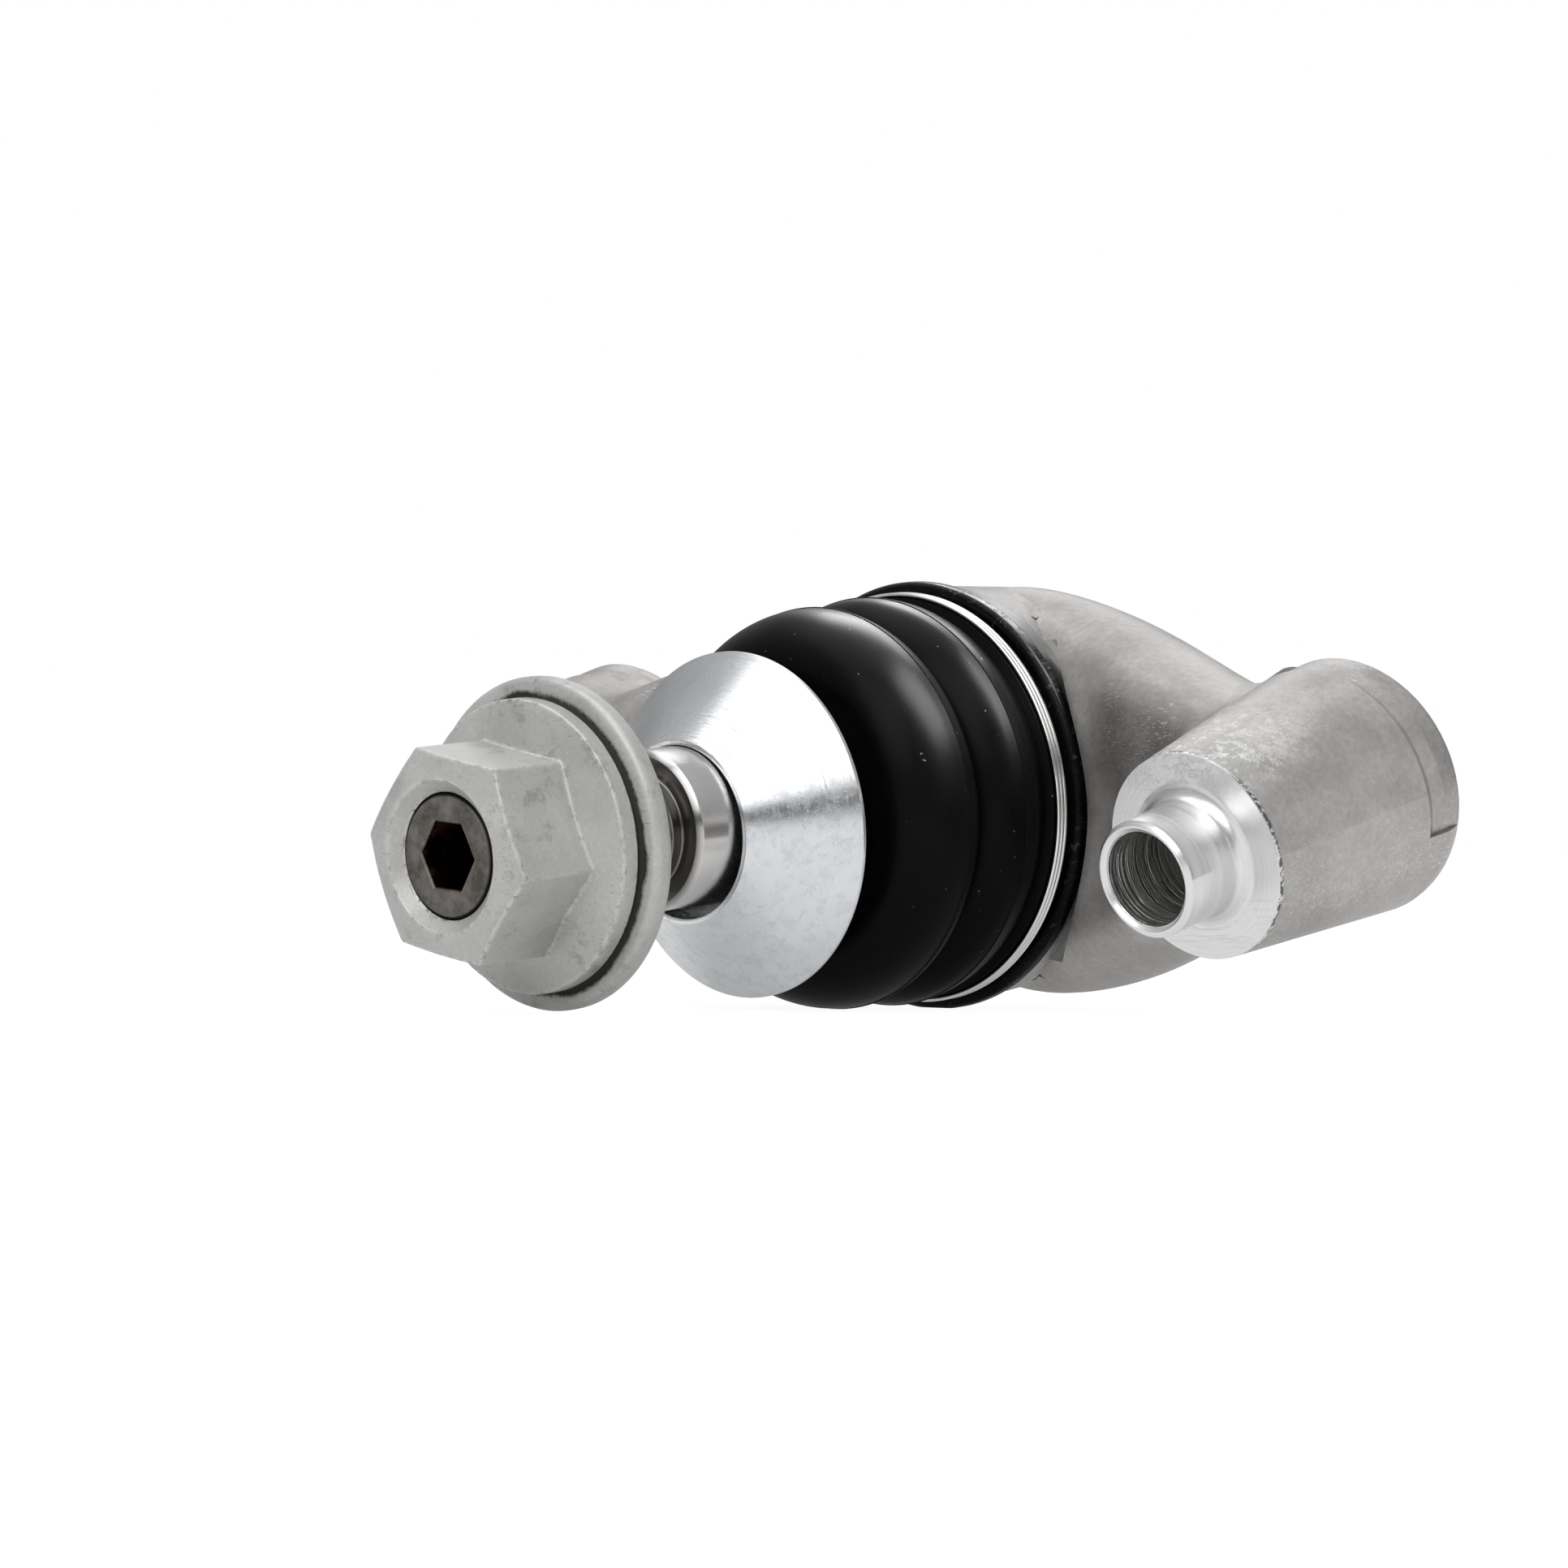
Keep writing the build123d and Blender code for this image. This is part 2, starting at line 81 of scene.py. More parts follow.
# Stud
ball_radius = 15.0
ball_flat_radius = 6.0
ball_steps = 24
neck_radius = 7.2
neck_start_out = 13.2
neck_end_out = 20.5
boot_seat_start_out = 27.0
boot_seat_radius = 9.0
collar_radius = 12.5
collar_thickness = 1.6
shank_radius = 8.75
shank_end_out = 49.0
shank_chamfer = 0.6
relief_radius = 6.2
relief_length = 2.2
thread_radius = 7.0
thread_pitch = 1.5
thread_depth = 0.85
thread_crest = 0.12
thread_fade = 0.8
thread_steps = 10
stud_end_out = 77.6
stud_end_chamfer = 0.7
socket_across_flats = 7.0
socket_depth = 7.0
socket_turn = 5.0
socket_edge = 0.2
socket_tip = 1.2

# Cone ring
cone_back_out = 34.0
cone_rim_radius = 18.9
cone_rim_thickness = 0.5
cone_face_radius = 10.0
cone_bore_radius = 9.4
cone_drop = 0.6

# Nut and washer
nut_across_flats = 21.0
nut_front_out = 78.6
nut_rim_front_out = 67.0
nut_rim_back_out = 64.9
nut_turn = 11.0
nut_chamfer_radius = 8.7
nut_countersink_radius = 8.1
nut_mouth_radius = 6.75
nut_mouth_out = 77.3
nut_front_slope = 18.0
flange_slope = 15.0
flange_radius = 15.7
nut_neck_radius = 9.0
nut_lip_radius = 9.9
nut_neck_end_out = 62.6
nut_lip_end_out = 61.8
nut_corner_round = 0.55
nut_thread_clearance = 0.03
nut_lead = 1.5
washer_radius = 17.8
washer_front_out = 64.65
washer_back_out = 61.55
washer_bore_radius = 9.3
washer_counterbore_radius = 10.3
washer_counterbore_out = 62.85
washer_edge_round = 1.2
washer_land_radius = 15.3
washer_land_slope = 0.5
washer_edge_out = 64.3
# Painted shade in the gap between the nut's flange and the washer: its radius, how ragged its edge is
# and how large its patches are
gap_shade_radius = 15.6
gap_shade_fuzz = 1.0
gap_shade_patch = 0.35

# Boot; fit is the play where it lies on a solid
fit = 0.02
boot_bead_radius = 20.22
boot_mouth_radius = 21.05
boot_groove_start_out = 3.8
boot_groove_end_out = 10.2
housing_front_out = 11.5
boot_lip_radius = 23.9
boot_bead_end_out = 5.7
boot_bead_round = 1.5
clamp_groove_radius = 22.3
clamp_out = 7.1
rear_lobe = (22.6, 12.6)
rear_lobe_reach = 6.4
valley = (19.0, 17.3)
lobe_fullness = 0.75
front_lobe = (22.1, 21.0)
front_wall_radius = 15.5
front_wall_out = 28.8
seam_width = 0.3
seam_height = 0.1
boot_wall = 1.3
boot_neck_radius = 11.0
boot_neck_end_out = 32.38
neck_ring_out = 30.3
neck_wire = 1.2
neck_groove_depth = 0.4
boot_end_gap = 0.1

# Clamp of spring wire; its steps are counted round the boot and its sides round the wire
clamp_wire = 0.54
clamp_turns = 3
clamp_pitch = 0.78
clamp_start_turn = 200.0
clamp_steps = 160
clamp_sides = 12

# Boss at the end of an arm, with its machined face, spigot and bolt hole
boss_spacing = 110.0
boss_face_out = 22.2
boss_face_z = -4.5
boss_tilt = 12.0
spigot_length = 8.4
bolt_hole_radius = 5.19

# Soft blends of the casting: its even mesh, the gap to machined places and the faded border
blend_mesh_size = 0.6
blend_rounds = 240
blend_fade = 4.0
blend_sink = 0.03
blend_gap = 2.0
blend_neck_out = -1.5
blend_back_radius = 20.0
blend_start_x = 6.0
blend_end_x = 55.0

# Other machined places of the housing
neck_band_radius = 24.0
neck_band_out = 1.25
facing_radius = 39.0
facing_out = 5.0
back_face_outs = (-15.0, -15.2)
back_face_radii = (18.6, 18.4)
boss_ring_radii = (13.0, 12.5)

# Painted shade, dirt and marks on the casting: how deep a hollow takes painted shade and dirt, where
# each mark begins and is full
casting_shade_and_soil_reach = 9.0
burr_inner_radii = (10.8, 11.1)
burr_outer_radii = (12.6, 12.2)
worn_alongs = (-15.0, -3.0)
worn_heights = (6.5, 10.0)
worn_radii = (15.0, 14.0)
# Dark patch on the arms' fronts beside the barrel at mid height: painted shade of their hollow face,
# mixed with dirt
dark_patch_radii = (41.0, 32.0)
dark_patch_outs = (-9.0, -4.0)
dark_patch_tops = (12.5, 9.0)
dark_patch_feet = (-8.0, 4.0)


def rounded(corners, steps=4):
    """Points along a profile whose corners (radius, out, round) are replaced by small arcs."""
    points = []
    total = len(corners)
    for i, (across, out, size) in enumerate(corners):
        here = Vector((across, out))
        if size == 0:
            points.append(here)
            continue
        before = Vector(corners[(i - 1) % total][:2]) - here
        after = Vector(corners[(i + 1) % total][:2]) - here
        half = before.angle(after) / 2
        reach = min(size / tan(half), before.length * 0.45, after.length * 0.45)
        bend = reach * tan(half)
        start = here + before.normalized() * reach
        end = here + after.normalized() * reach
        centre = here + (before.normalized() + after.normalized()).normalized() * (bend / sin(half))
        first = start - centre
        turn = first.angle_signed(end - centre)
        for k in range(steps + 1):
            spoke = first.copy()
            spoke.rotate(Matrix.Rotation(-turn * k / steps, 2))
            points.append(centre + spoke)
    return points


def placed(name, data):
    """A new object of the scene, with its mesh, light or camera."""
    made = bpy.data.objects.new(name, data)
    bpy.context.scene.collection.objects.link(made)
    return made


def new_piece(name, points, faces):
    """A new object of the scene with a mesh of these points and faces."""
    mesh = bpy.data.meshes.new(name)
    mesh.from_pydata([tuple(point) for point in points], [], faces)
    mesh.validate()
    return placed(name, mesh)


def grid_mesh(name, columns, closed_profile):
    """A mesh from columns of points that go once round an axis, the last joined to the first."""
    rows = len(columns[0])
    points = [point for column in columns for point in column]
    faces = []
    last = rows if closed_profile else rows - 1
    for c in range(len(columns)):
        d = (c + 1) % len(columns)
        for r in range(last):
            s = (r + 1) % rows
            faces.append((c * rows + r, c * rows + s, d * rows + s, d * rows + r))
    return new_piece(name, points, faces)


def finish_mesh(piece, smooth_angle=35.0):
    """Welds the poles, turns the faces outwards and shades the piece smooth with flat faces kept."""
    work = bmesh.new()
    work.from_mesh(piece.data)
    bmesh.ops.remove_doubles(work, verts=work.verts, dist=1e-7)
    bmesh.ops.recalc_face_normals(work, faces=work.faces)
    work.to_mesh(piece.data)
    work.free()
    for face in piece.data.polygons:
        face.use_smooth = True
    piece.data.set_sharp_from_angle(angle=radians(smooth_angle))
    weights = piece.modifiers.new("flat faces", "WEIGHTED_NORMAL")
    weights.keep_sharp = True
    return piece


def turned_piece(name, profile_at, angles, closed_profile=True):
    """A piece turned about the stud axis from the profile (radius, out) that each angle gives."""
    columns = []
    for angle in angles:
        column = []
        for across, out in profile_at(angle):
            column.append(Vector((across * cos(angle), -out, across * sin(angle))) * MM)
        columns.append(column)
    return finish_mesh(grid_mesh(name, columns, closed_profile))


def plain_ring(name, loop, count):
    """A piece whose closed profile is the same all round the stud axis."""
    return turned_piece(name, lambda angle: loop, [2 * pi * i / count for i in range(count)])


def hexagon_angles(turn, corner_span, per_corner=6, per_side=12):
    """Angles round a hexagon, closer together at its six corners."""
    angles = []
    for corner in range(6):
        middle = radians(60 * corner - turn)
        angles += [middle + corner_span * (2 * i / per_corner - 1) for i in range(per_corner)]
        side = pi / 3 - 2 * corner_span
        angles += [middle + corner_span + side * i / per_side for i in range(per_side)]
    return angles


def hexagon_radius(angle, across_flats, turn, corner_round=0.0):
    """Distance from the middle of a hexagon to its side, with rounded corners, at an angle."""
    flat = across_flats / 2
    off = (angle + radians(turn)) % (pi / 3)
    off = min(off, pi / 3 - off)
    middle = (flat - corner_round) / cos(pi / 6)
    tangent = atan2(corner_round * sin(pi / 6), middle + corner_round * cos(pi / 6))
    if off < tangent:
        return middle * cos(off) + sqrt(corner_round**2 - (middle * sin(off)) ** 2)
    return flat / cos(pi / 6 - off)


def flank(crest, end_out, reach, inset, steps=16):
    """Points from a lobe's crest down one side, which would meet the valley's depth at its reach."""
    high = crest[0] - valley[0]
    points = []
    for i in range(steps + 1):
        share = sin(pi / 2 * i / steps)
        out = crest[1] + (end_out - crest[1]) * share
        fall = cos(pi / 2 * min(1.0, abs(out - crest[1]) / reach))
        points.append((valley[0] + high * fall**lobe_fullness - inset, out))
    return points


def shade(value):
    """A colour or a grey as four numbers, and a node's output as it is."""
    if isinstance(value, bpy.types.NodeSocket):
        return value
    return (*(value if isinstance(value, tuple) else (value, value, value)), 1.0)


def add_node(tree, kind, settings=None, **inputs):
    """The outputs of a new node, whose inputs are values or other nodes' outputs."""
    made = tree.nodes.new(kind)
    for key, value in (settings or {}).items():
        setattr(made, key, value)
    for key, value in inputs.items():
        socket = made.inputs[int(key[1:]) if key[0] == "i" and key[1:].isdigit() else key]
        if isinstance(value, bpy.types.NodeSocket):
            tree.links.new(value, socket)
        else:
            socket.default_value = value
    return made.outputs


def add_ramp(tree, value, stops):
    """Colours or greys at chosen values, with straight runs between."""
    made = tree.nodes.new("ShaderNodeValToRGB")
    tree.links.new(value, made.inputs[0])
    elements = made.color_ramp.elements
    while len(elements) < len(stops):
        elements.new(0.5)
    for element, (position, colour) in zip(elements, stops):
        element.position = position
        element.color = shade(colour)
    return made.outputs[0]


class Finish:
    """A material of nodes round one Principled shader, with short calls for the nodes it shares."""

    def __init__(self, name, **settings):
        self.material = bpy.data.materials.new(name)
        self.material.use_nodes = True
        self.tree = self.material.node_tree
        self.shader = self.tree.nodes["Principled BSDF"]
        for socket, value in settings.items():
            self.shader.inputs[socket.replace("_", " ")].default_value = value
        self.place = self.node("ShaderNodeTexCoord")["Object"]

    def node(self, kind, settings=None, **inputs):
        """The outputs of a new node of this material."""
        return add_node(self.tree, kind, settings, **inputs)

    def maths(self, operation, a, b=0.0, c=0.0, clamp=False):
        """One arithmetic step."""
        settings = {"operation": operation, "use_clamp": clamp}
        return self.node("ShaderNodeMath", settings, i0=a, i1=b, i2=c)[0]

    def vector(self, x=0.0, y=0.0, z=0.0):
        """A vector of three parts."""
        return self.node("ShaderNodeCombineXYZ", None, X=x, Y=y, Z=z)[0]

    def vector_maths(self, operation, a, b=(0, 0, 0)):
        """One step on vectors: the vector and the number that it gives."""
        return self.node("ShaderNodeVectorMath", {"operation": operation}, i0=a, i1=b)

    def noise(self, scale, detail, roughness, vector=None):
        """Noise from 0 to 1 over the piece, or over another vector."""
        inputs = {"Scale": scale, "Detail": detail, "Roughness": roughness}
        return self.node("ShaderNodeTexNoise", None, Vector=vector or self.place, **inputs)["Fac"]

    def ramp(self, value, *stops):
        """Colours or greys at chosen values, with straight runs between."""
        return add_ramp(self.tree, value, stops)

    def patches(self, scale, detail, roughness, *stops):
        """Noise over the piece, put through a ramp."""
        return self.ramp(self.noise(scale, detail, roughness), *stops)

    def mix(self, factor, a, b, blend="MIX"):
        """Two colours or greys mixed by a factor."""
        settings = {"data_type": "RGBA", "blend_type": blend}
        return self.node("ShaderNodeMix", settings, i0=factor, i6=shade(a), i7=shade(b))[2]

    def multiply(self, a, b):
        """Two colours or greys multiplied."""
        return self.mix(1.0, a, b, "MULTIPLY")

    def over(self, base, share, strength, colour):
        """A colour laid over the base where a share is high."""
        return self.mix(self.product(share, strength), base, colour)

    def product(self, first, *others):
        """Shares multiplied."""
        for share in others:
            first = self.maths("MULTIPLY", first, share)
        return first

    def largest(self, first, *others):
        """The largest of some shares."""
        for share in others:
            first = self.maths("MAXIMUM", first, share)
        return first

    def step(self, value, low, high):
        """A share that goes from 0 at the first value to 1 at the second."""
        inputs = {"Value": value, "From Min": low, "From Max": high}
        return self.node("ShaderNodeMapRange", {"clamp": True}, **inputs)[0]

    def length(self, a, b):
        """The length of a vector with two parts."""
        return self.vector_maths("LENGTH", self.vector(a, b))["Value"]

    def parts_of_place(self):
        """The place's three parts, in metres."""
        return self.node("ShaderNodeSeparateXYZ", None, Vector=self.place)

    def axis_distance(self):
        """Distance from the stud axis, in metres."""
        x, _, z = self.parts_of_place()
        return self.length(x, z)

    def out(self):
        """Millimetres out along the stud."""
        return self.maths("MULTIPLY", self.parts_of_place()[1], -1 / MM)

    def from_axis(self):
        """Millimetres away from the stud axis."""
        return self.maths("DIVIDE", self.axis_distance(), MM)

    def hollows(self, reach):
        """A share that is 1 in the open and falls in hollows and corners of the piece itself."""
        settings = {"samples": 6, "only_local": True}
        return self.node("ShaderNodeAmbientOcclusion", settings, Distance=reach)["AO"]

    def edge_wear(self, radius):
        """A share that rises towards the edges, from how far a rounded normal turns away."""
        bevel = self.node("ShaderNodeBevel", {"samples": 6}, Radius=radius)[0]
        normal = self.node("ShaderNodeNewGeometry")["Normal"]
        agree = self.vector_maths("DOT_PRODUCT", bevel, normal)["Value"]
        return self.maths("SUBTRACT", 1.0, agree, clamp=True)

    def dashes(self, turn, scale, stretch, level):
        """Short straight scratches along one direction, where a stretched noise is high."""
        drawn = {"Vector": self.place, "Rotation": turn, "Scale": (scale / stretch, scale, scale)}
        vector = self.node("ShaderNodeMapping", None, **drawn)[0]
        return self.step(self.noise(1.0, 2.0, 0.5, vector), level, level + 0.02)

    def scratches(self, scale, level):
        """Short scratches along three directions, in patches."""
        lines = self.largest(
            self.dashes((0.3, 0.9, 0.5), scale, 34.0, level),
            self.dashes((1.2, 0.7, 2.1), scale * 0.8, 30.0, level),
            self.dashes((0.7, 2.3, 0.9), scale * 1.4, 18.0, level),
        )
        return self.product(self.patches(75.0, 3.0, 0.6, (0.5, 0.0), (0.6, 1.0)), lines)

    def turning(self, around, fine, detail, roughness):
        """Noise like tool marks: slow round the stud axis, fast away from it and along it."""
        x, y, z = self.parts_of_place()
        round_axis = self.vector_maths("NORMALIZE", self.vector(x, 0.0, z))[0]
        slow = self.vector_maths("MULTIPLY", round_axis, (around, 0, around))[0]
        depth = self.maths("MULTIPLY", self.axis_distance(), fine)
        travel = self.maths("ADD", depth, self.maths("MULTIPLY", y, fine))
        place = self.vector_maths("ADD", slow, self.vector(y=travel))[0]
        return self.noise(1.0, detail, roughness, place)

    def relief(self, *layers):
        """Layers of small relief: a share, its height in metres where it is 1, its strength."""
        under = {}
        for share, height, strength in layers:
            inputs = {"Height": share, "Distance": height, "Strength": strength, **under}
            under = {"Normal": self.node("ShaderNodeBump", None, **inputs)[0]}
        return under["Normal"]

    def use(self, **links):
        """Joins outputs to the shader's sockets."""
        for socket, output in links.items():
            self.tree.links.new(output, self.shader.inputs[socket.replace("_", " ")])
        return self.material


def painted_gap_shade(finish):
    """A share for the painted shade, with a fuzzy edge, in the gap between the nut's flange and its
    washer.
    """
    out = finish.out()
    fuzz = finish.noise(1500.0, 5.0, 0.8)
    patch = finish.step(finish.noise(110.0, 2.0, 0.5), 0.48, 0.62)
    reach = finish.maths("MULTIPLY_ADD", fuzz, -gap_shade_fuzz, finish.from_axis())
    reach = finish.maths("MULTIPLY_ADD", patch, -gap_shade_patch, reach)
    return finish.product(
        finish.step(reach, gap_shade_radius + 0.2, gap_shade_radius - 0.25),
        finish.step(out, nut_rim_back_out + 0.3, nut_rim_back_out + 0.05),
        finish.step(out, washer_edge_out - 0.15, washer_edge_out - 0.05),
    )


def zinc_flake():
    """Matt light grey zinc flake coat, cloudy, rubbed dark along edges and scuffed on the flats."""
    finish = Finish("zinc flake steel", Metallic=0.3, IOR=1.5)
    cloud = finish.noise(130.0, 5.0, 0.6)
    grain = finish.noise(2400.0, 3.0, 0.7)
    base = finish.ramp(cloud, (0.32, (0.46, 0.462, 0.45)), (0.68, (0.575, 0.577, 0.563)))
    base = finish.multiply(base, finish.ramp(grain, (0.35, 0.93), (0.65, 1.04)))
    stain = finish.product(
        finish.patches(380.0, 6.0, 0.8, (0.53, 0.0), (0.62, 1.0)),
        finish.patches(95.0, 2.0, 0.5, (0.46, 0.0), (0.60, 1.0)),
    )
    base = finish.over(base, stain, 0.45, (0.20, 0.195, 0.185))
    base = finish.over(base, finish.scratches(5200.0, 0.68), 0.6, (0.17, 0.165, 0.16))
    edge = finish.edge_wear(0.0007)
    chips = finish.noise(1100.0, 5.0, 0.75)
    dark = finish.product(
        finish.ramp(edge, (0.015, 0.0), (0.05, 1.0)), finish.ramp(chips, (0.56, 0.0), (0.6, 1.0))
    )
    pale = finish.product(
        finish.ramp(edge, (0.01, 0.0), (0.04, 1.0)), finish.ramp(chips, (0.50, 1.0), (0.54, 0.0))
    )
    base = finish.over(base, pale, 0.6, 0.86)
    base = finish.over(base, dark, 0.85, (0.09, 0.085, 0.08))
    # Painted shade, near black and rougher, in the gap between the flange and the washer
    gap_shade = painted_gap_shade(finish)
    base = finish.mix(gap_shade, base, (0.035, 0.034, 0.032))
    rough = finish.mix(gap_shade, finish.ramp(cloud, (0.3, 0.36), (0.7, 0.5)), 0.8)
    coat = finish.maths("SUBTRACT", 1.0, dark)
    relief = finish.relief((grain, 0.000008, 1.0), (cloud, 0.00012, 0.5), (coat, 0.00003, 1.0))
    return finish.use(Base_Color=base, Roughness=rough, Normal=relief)


def ground_steel():
    """Ground steel with fine marks round the stud, browned at the threaded end, and darker over the
    relief and thread, partly as painted shade.
    """
    finish = Finish("ground steel", Metallic=1.0)
    marks = finish.turning(1.5, 9000.0, 4.0, 0.6)
    cloud = finish.noise(160.0, 4.0, 0.6)
    blotch = finish.noise(520.0, 5.0, 0.7)
    out = finish.out()
    distance = finish.from_axis()
    base = finish.ramp(cloud, (0.3, (0.63, 0.622, 0.615)), (0.7, (0.74, 0.732, 0.725)))
    # Darker from the shank's end over the relief and the thread: painted shade of the relief, partly
    # dark oily steel
    base = finish.mix(finish.step(out, shank_end_out - 0.7, shank_end_out), base, (0.2, 0.195, 0.19))
    end = finish.step(out, stud_end_out - 1.2, stud_end_out - 0.8)
    brown = finish.ramp(blotch, (0.35, (0.085, 0.075, 0.066)), (0.68, (0.22, 0.208, 0.195)))
    base = finish.mix(end, base, brown)
    key = finish.product(
        finish.step(distance, socket_across_flats / 2 + 0.75, socket_across_flats / 2 + 0.6),
        finish.step(out, stud_end_out - socket_depth - 2, stud_end_out - socket_depth),
        finish.step(out, stud_end_out, stud_end_out - 0.5),
    )
    rust = finish.ramp(blotch, (0.48, (0.018, 0.016, 0.015)), (0.62, (0.16, 0.085, 0.05)))
    base = finish.mix(key, base, rust)
    bare = finish.product(
        finish.ramp(finish.edge_wear(0.0003), (0.05, 0.0), (0.2, 1.0)),
        finish.patches(1100.0, 4.0, 0.7, (0.5, 0.0), (0.56, 1.0)),
        end,
    )
    base = finish.mix(bare, base, (0.75, 0.74, 0.72))
    # The chamfer round the stud's end is made near black: painted shade of the groove between the stud
    # and the nut's mouth
    rim = finish.step(distance, thread_radius - stud_end_chamfer, thread_radius - 0.5)
    base = finish.mix(finish.product(end, rim), base, 0.01)
    rough = finish.ramp(marks, (0.3, 0.17), (0.7, 0.27))
    rough = finish.mix(end, rough, finish.ramp(blotch, (0.3, 0.38), (0.7, 0.55)))
    relief = finish.relief((marks, 0.0000022, 1.0), (finish.product(blotch, end), 0.00006, 0.6))
    return finish.use(Base_Color=base, Roughness=rough, Normal=relief)


def turned_aluminium():
    """Bright aluminium with fine turning marks, scratches across them and dull blotches."""
    finish = Finish("turned aluminium", Metallic=1.0)
    marks = finish.turning(1.2, 7000.0, 5.0, 0.7)
    arcs = finish.turning(0.8, 1900.0, 3.0, 0.6)
    cloud = finish.noise(85.0, 4.0, 0.55)
    blotch = finish.noise(640.0, 6.0, 0.75)
    base = finish.ramp(cloud, (0.3, (0.66, 0.675, 0.69)), (0.7, (0.80, 0.81, 0.82)))
    dull = finish.ramp(blotch, (0.40, (0.90, 0.915, 0.94)), (0.52, 1.0))
    base = finish.multiply(base, dull)
    pit = finish.patches(1500.0, 3.0, 0.6, (0.73, 0.0), (0.76, 1.0))
    base = finish.over(base, pit, 0.7, (0.2, 0.2, 0.21))
    scratch = finish.scratches(6000.0, 0.69)
    base = finish.over(base, scratch, 0.7, 0.95)
    rough = finish.ramp(marks, (0.3, 0.17), (0.7, 0.26))
    rough = finish.mix(finish.ramp(blotch, (0.40, 0.6), (0.52, 0.0)), rough, 0.34)
    groove = finish.product(
        finish.ramp(arcs, (0.60, 0.0), (0.66, 1.0)), finish.ramp(cloud, (0.5, 0.0), (0.6, 1.0))
    )
    relief = finish.relief((marks, 0.000006, 1.0), (groove, 0.00002, 1.0), (scratch, 0.00001, 1.0))
    return finish.use(Base_Color=base, Roughness=rough, Normal=relief)


def spring_wire():
    """Drawn bright steel wire."""
    finish = Finish("spring wire", Metallic=1.0)
    cloud = finish.noise(90.0, 3.0, 0.6)
    base = finish.ramp(cloud, (0.3, (0.80, 0.80, 0.79)), (0.7, (0.90, 0.90, 0.89)))
    return finish.use(Base_Color=base, Roughness=finish.ramp(cloud, (0.3, 0.12), (0.7, 0.22)))


def boot_rubber():
    """Satin black rubber with a few specks of dust and worn edges on its lip."""
    finish = Finish("boot rubber", IOR=1.45, Specular_IOR_Level=0.08)
    cloud = finish.noise(90.0, 4.0, 0.55)
    grain = finish.noise(3200.0, 2.0, 0.6)
    base = finish.ramp(cloud, (0.3, (0.0008, 0.0008, 0.0009)), (0.75, (0.0018, 0.0018, 0.0019)))
    speck = finish.patches(1500.0, 2.0, 0.5, (0.745, 0.0), (0.775, 1.0))
    base = finish.over(base, speck, 0.6, (0.16, 0.155, 0.15))
    rough = finish.ramp(cloud, (0.3, 0.28), (0.7, 0.36))
    lip = finish.step(finish.out(), boot_bead_end_out + 0.1, boot_bead_end_out - 0.2)
    scars = finish.turning(26.0, 700.0, 5.0, 0.75)
    scar = finish.product(lip, finish.ramp(scars, (0.60, 0.0), (0.64, 1.0)))
    film = finish.ramp(cloud, (0.40, 0.002), (0.68, (0.012, 0.012, 0.0115)))
    base = finish.mix(lip, base, film)
    base = finish.over(base, scar, 0.5, 0.10)
    rough = finish.mix(lip, rough, finish.ramp(scars, (0.45, 0.2), (0.65, 0.5)))
    relief = finish.relief((grain, 0.000005, 1.0), (scar, 0.00004, 1.0))
    return finish.use(Base_Color=base, Roughness=rough, Normal=relief)


def bearing_plastic():
    """White bearing plastic of the shells inside."""
    finish = Finish("bearing plastic", Roughness=0.38)
    cloud = finish.noise(200.0, 3.0, 0.5)
    base = finish.ramp(cloud, (0.3, (0.66, 0.65, 0.61)), (0.7, (0.74, 0.73, 0.69)))
    return finish.use(Base_Color=base)


def boss_place(finish):
    """Millimetres out of a boss's face, away from its bolt's axis, and above that axis."""
    x, y, z = finish.parts_of_place()
    across = finish.maths("MULTIPLY_ADD", finish.maths("ABSOLUTE", x), 1 / MM, -boss_spacing / 2)
    ahead = finish.maths("MULTIPLY_ADD", y, -1 / MM, -boss_face_out)
    above = finish.maths("MULTIPLY_ADD", z, 1 / MM, -boss_face_z)
    level = cos(radians(boss_tilt))
    rise = sin(radians(boss_tilt))
    along = finish.maths("MULTIPLY_ADD", ahead, level, finish.product(above, -rise))
    up = finish.maths("MULTIPLY_ADD", ahead, rise, finish.product(above, level))
    return along, finish.length(across, up), up


def shaded_soiled_casting(finish, mottle, fine, broad):
    """Colour of the raw casting: mottled, with painted shade and dirt in its hollows, and a dark patch
    of painted shade and dirt on the arms' fronts beside the barrel.
    """
    cast = finish.ramp(mottle, (0.3, (0.42, 0.41, 0.40)), (0.7, (0.54, 0.528, 0.517)))
    cast = finish.multiply(cast, finish.ramp(broad, (0.35, 0.9), (0.65, 1.07)))
    cast = finish.multiply(cast, finish.ramp(fine, (0.35, 0.9), (0.65, 1.08)))
    scratch = finish.scratches(4600.0, 0.66)
    cast = finish.over(cast, scratch, 0.7, (0.88, 0.87, 0.85))
    # Hollows and corners darkened: painted shade, patchy and brown, mixed with dirt
    shade_and_soil = finish.product(
        finish.ramp(finish.hollows(casting_shade_and_soil_reach * MM), (0.45, 1.0), (0.85, 0.0)),
        finish.patches(120.0, 5.0, 0.7, (0.35, 0.3), (0.6, 1.0)),
    )
    cast = finish.over(cast, shade_and_soil, 0.75, (0.16, 0.15, 0.135))
    height = finish.maths("DIVIDE", finish.parts_of_place()[2], MM)
    # Dark patch on the arms' fronts beside the barrel: painted shade of the hollow face, mixed with
    # dirt
    shade_and_dirt_patch = finish.product(
        finish.step(finish.from_axis(), *dark_patch_radii),
        finish.step(finish.out(), *dark_patch_outs),
        finish.step(height, *dark_patch_tops),
        finish.step(height, *dark_patch_feet),
        finish.patches(150.0, 5.0, 0.7, (0.38, 0.35), (0.56, 1.0)),
    )
    return finish.over(cast, shade_and_dirt_patch, 0.55, (0.20, 0.19, 0.175)), scratch


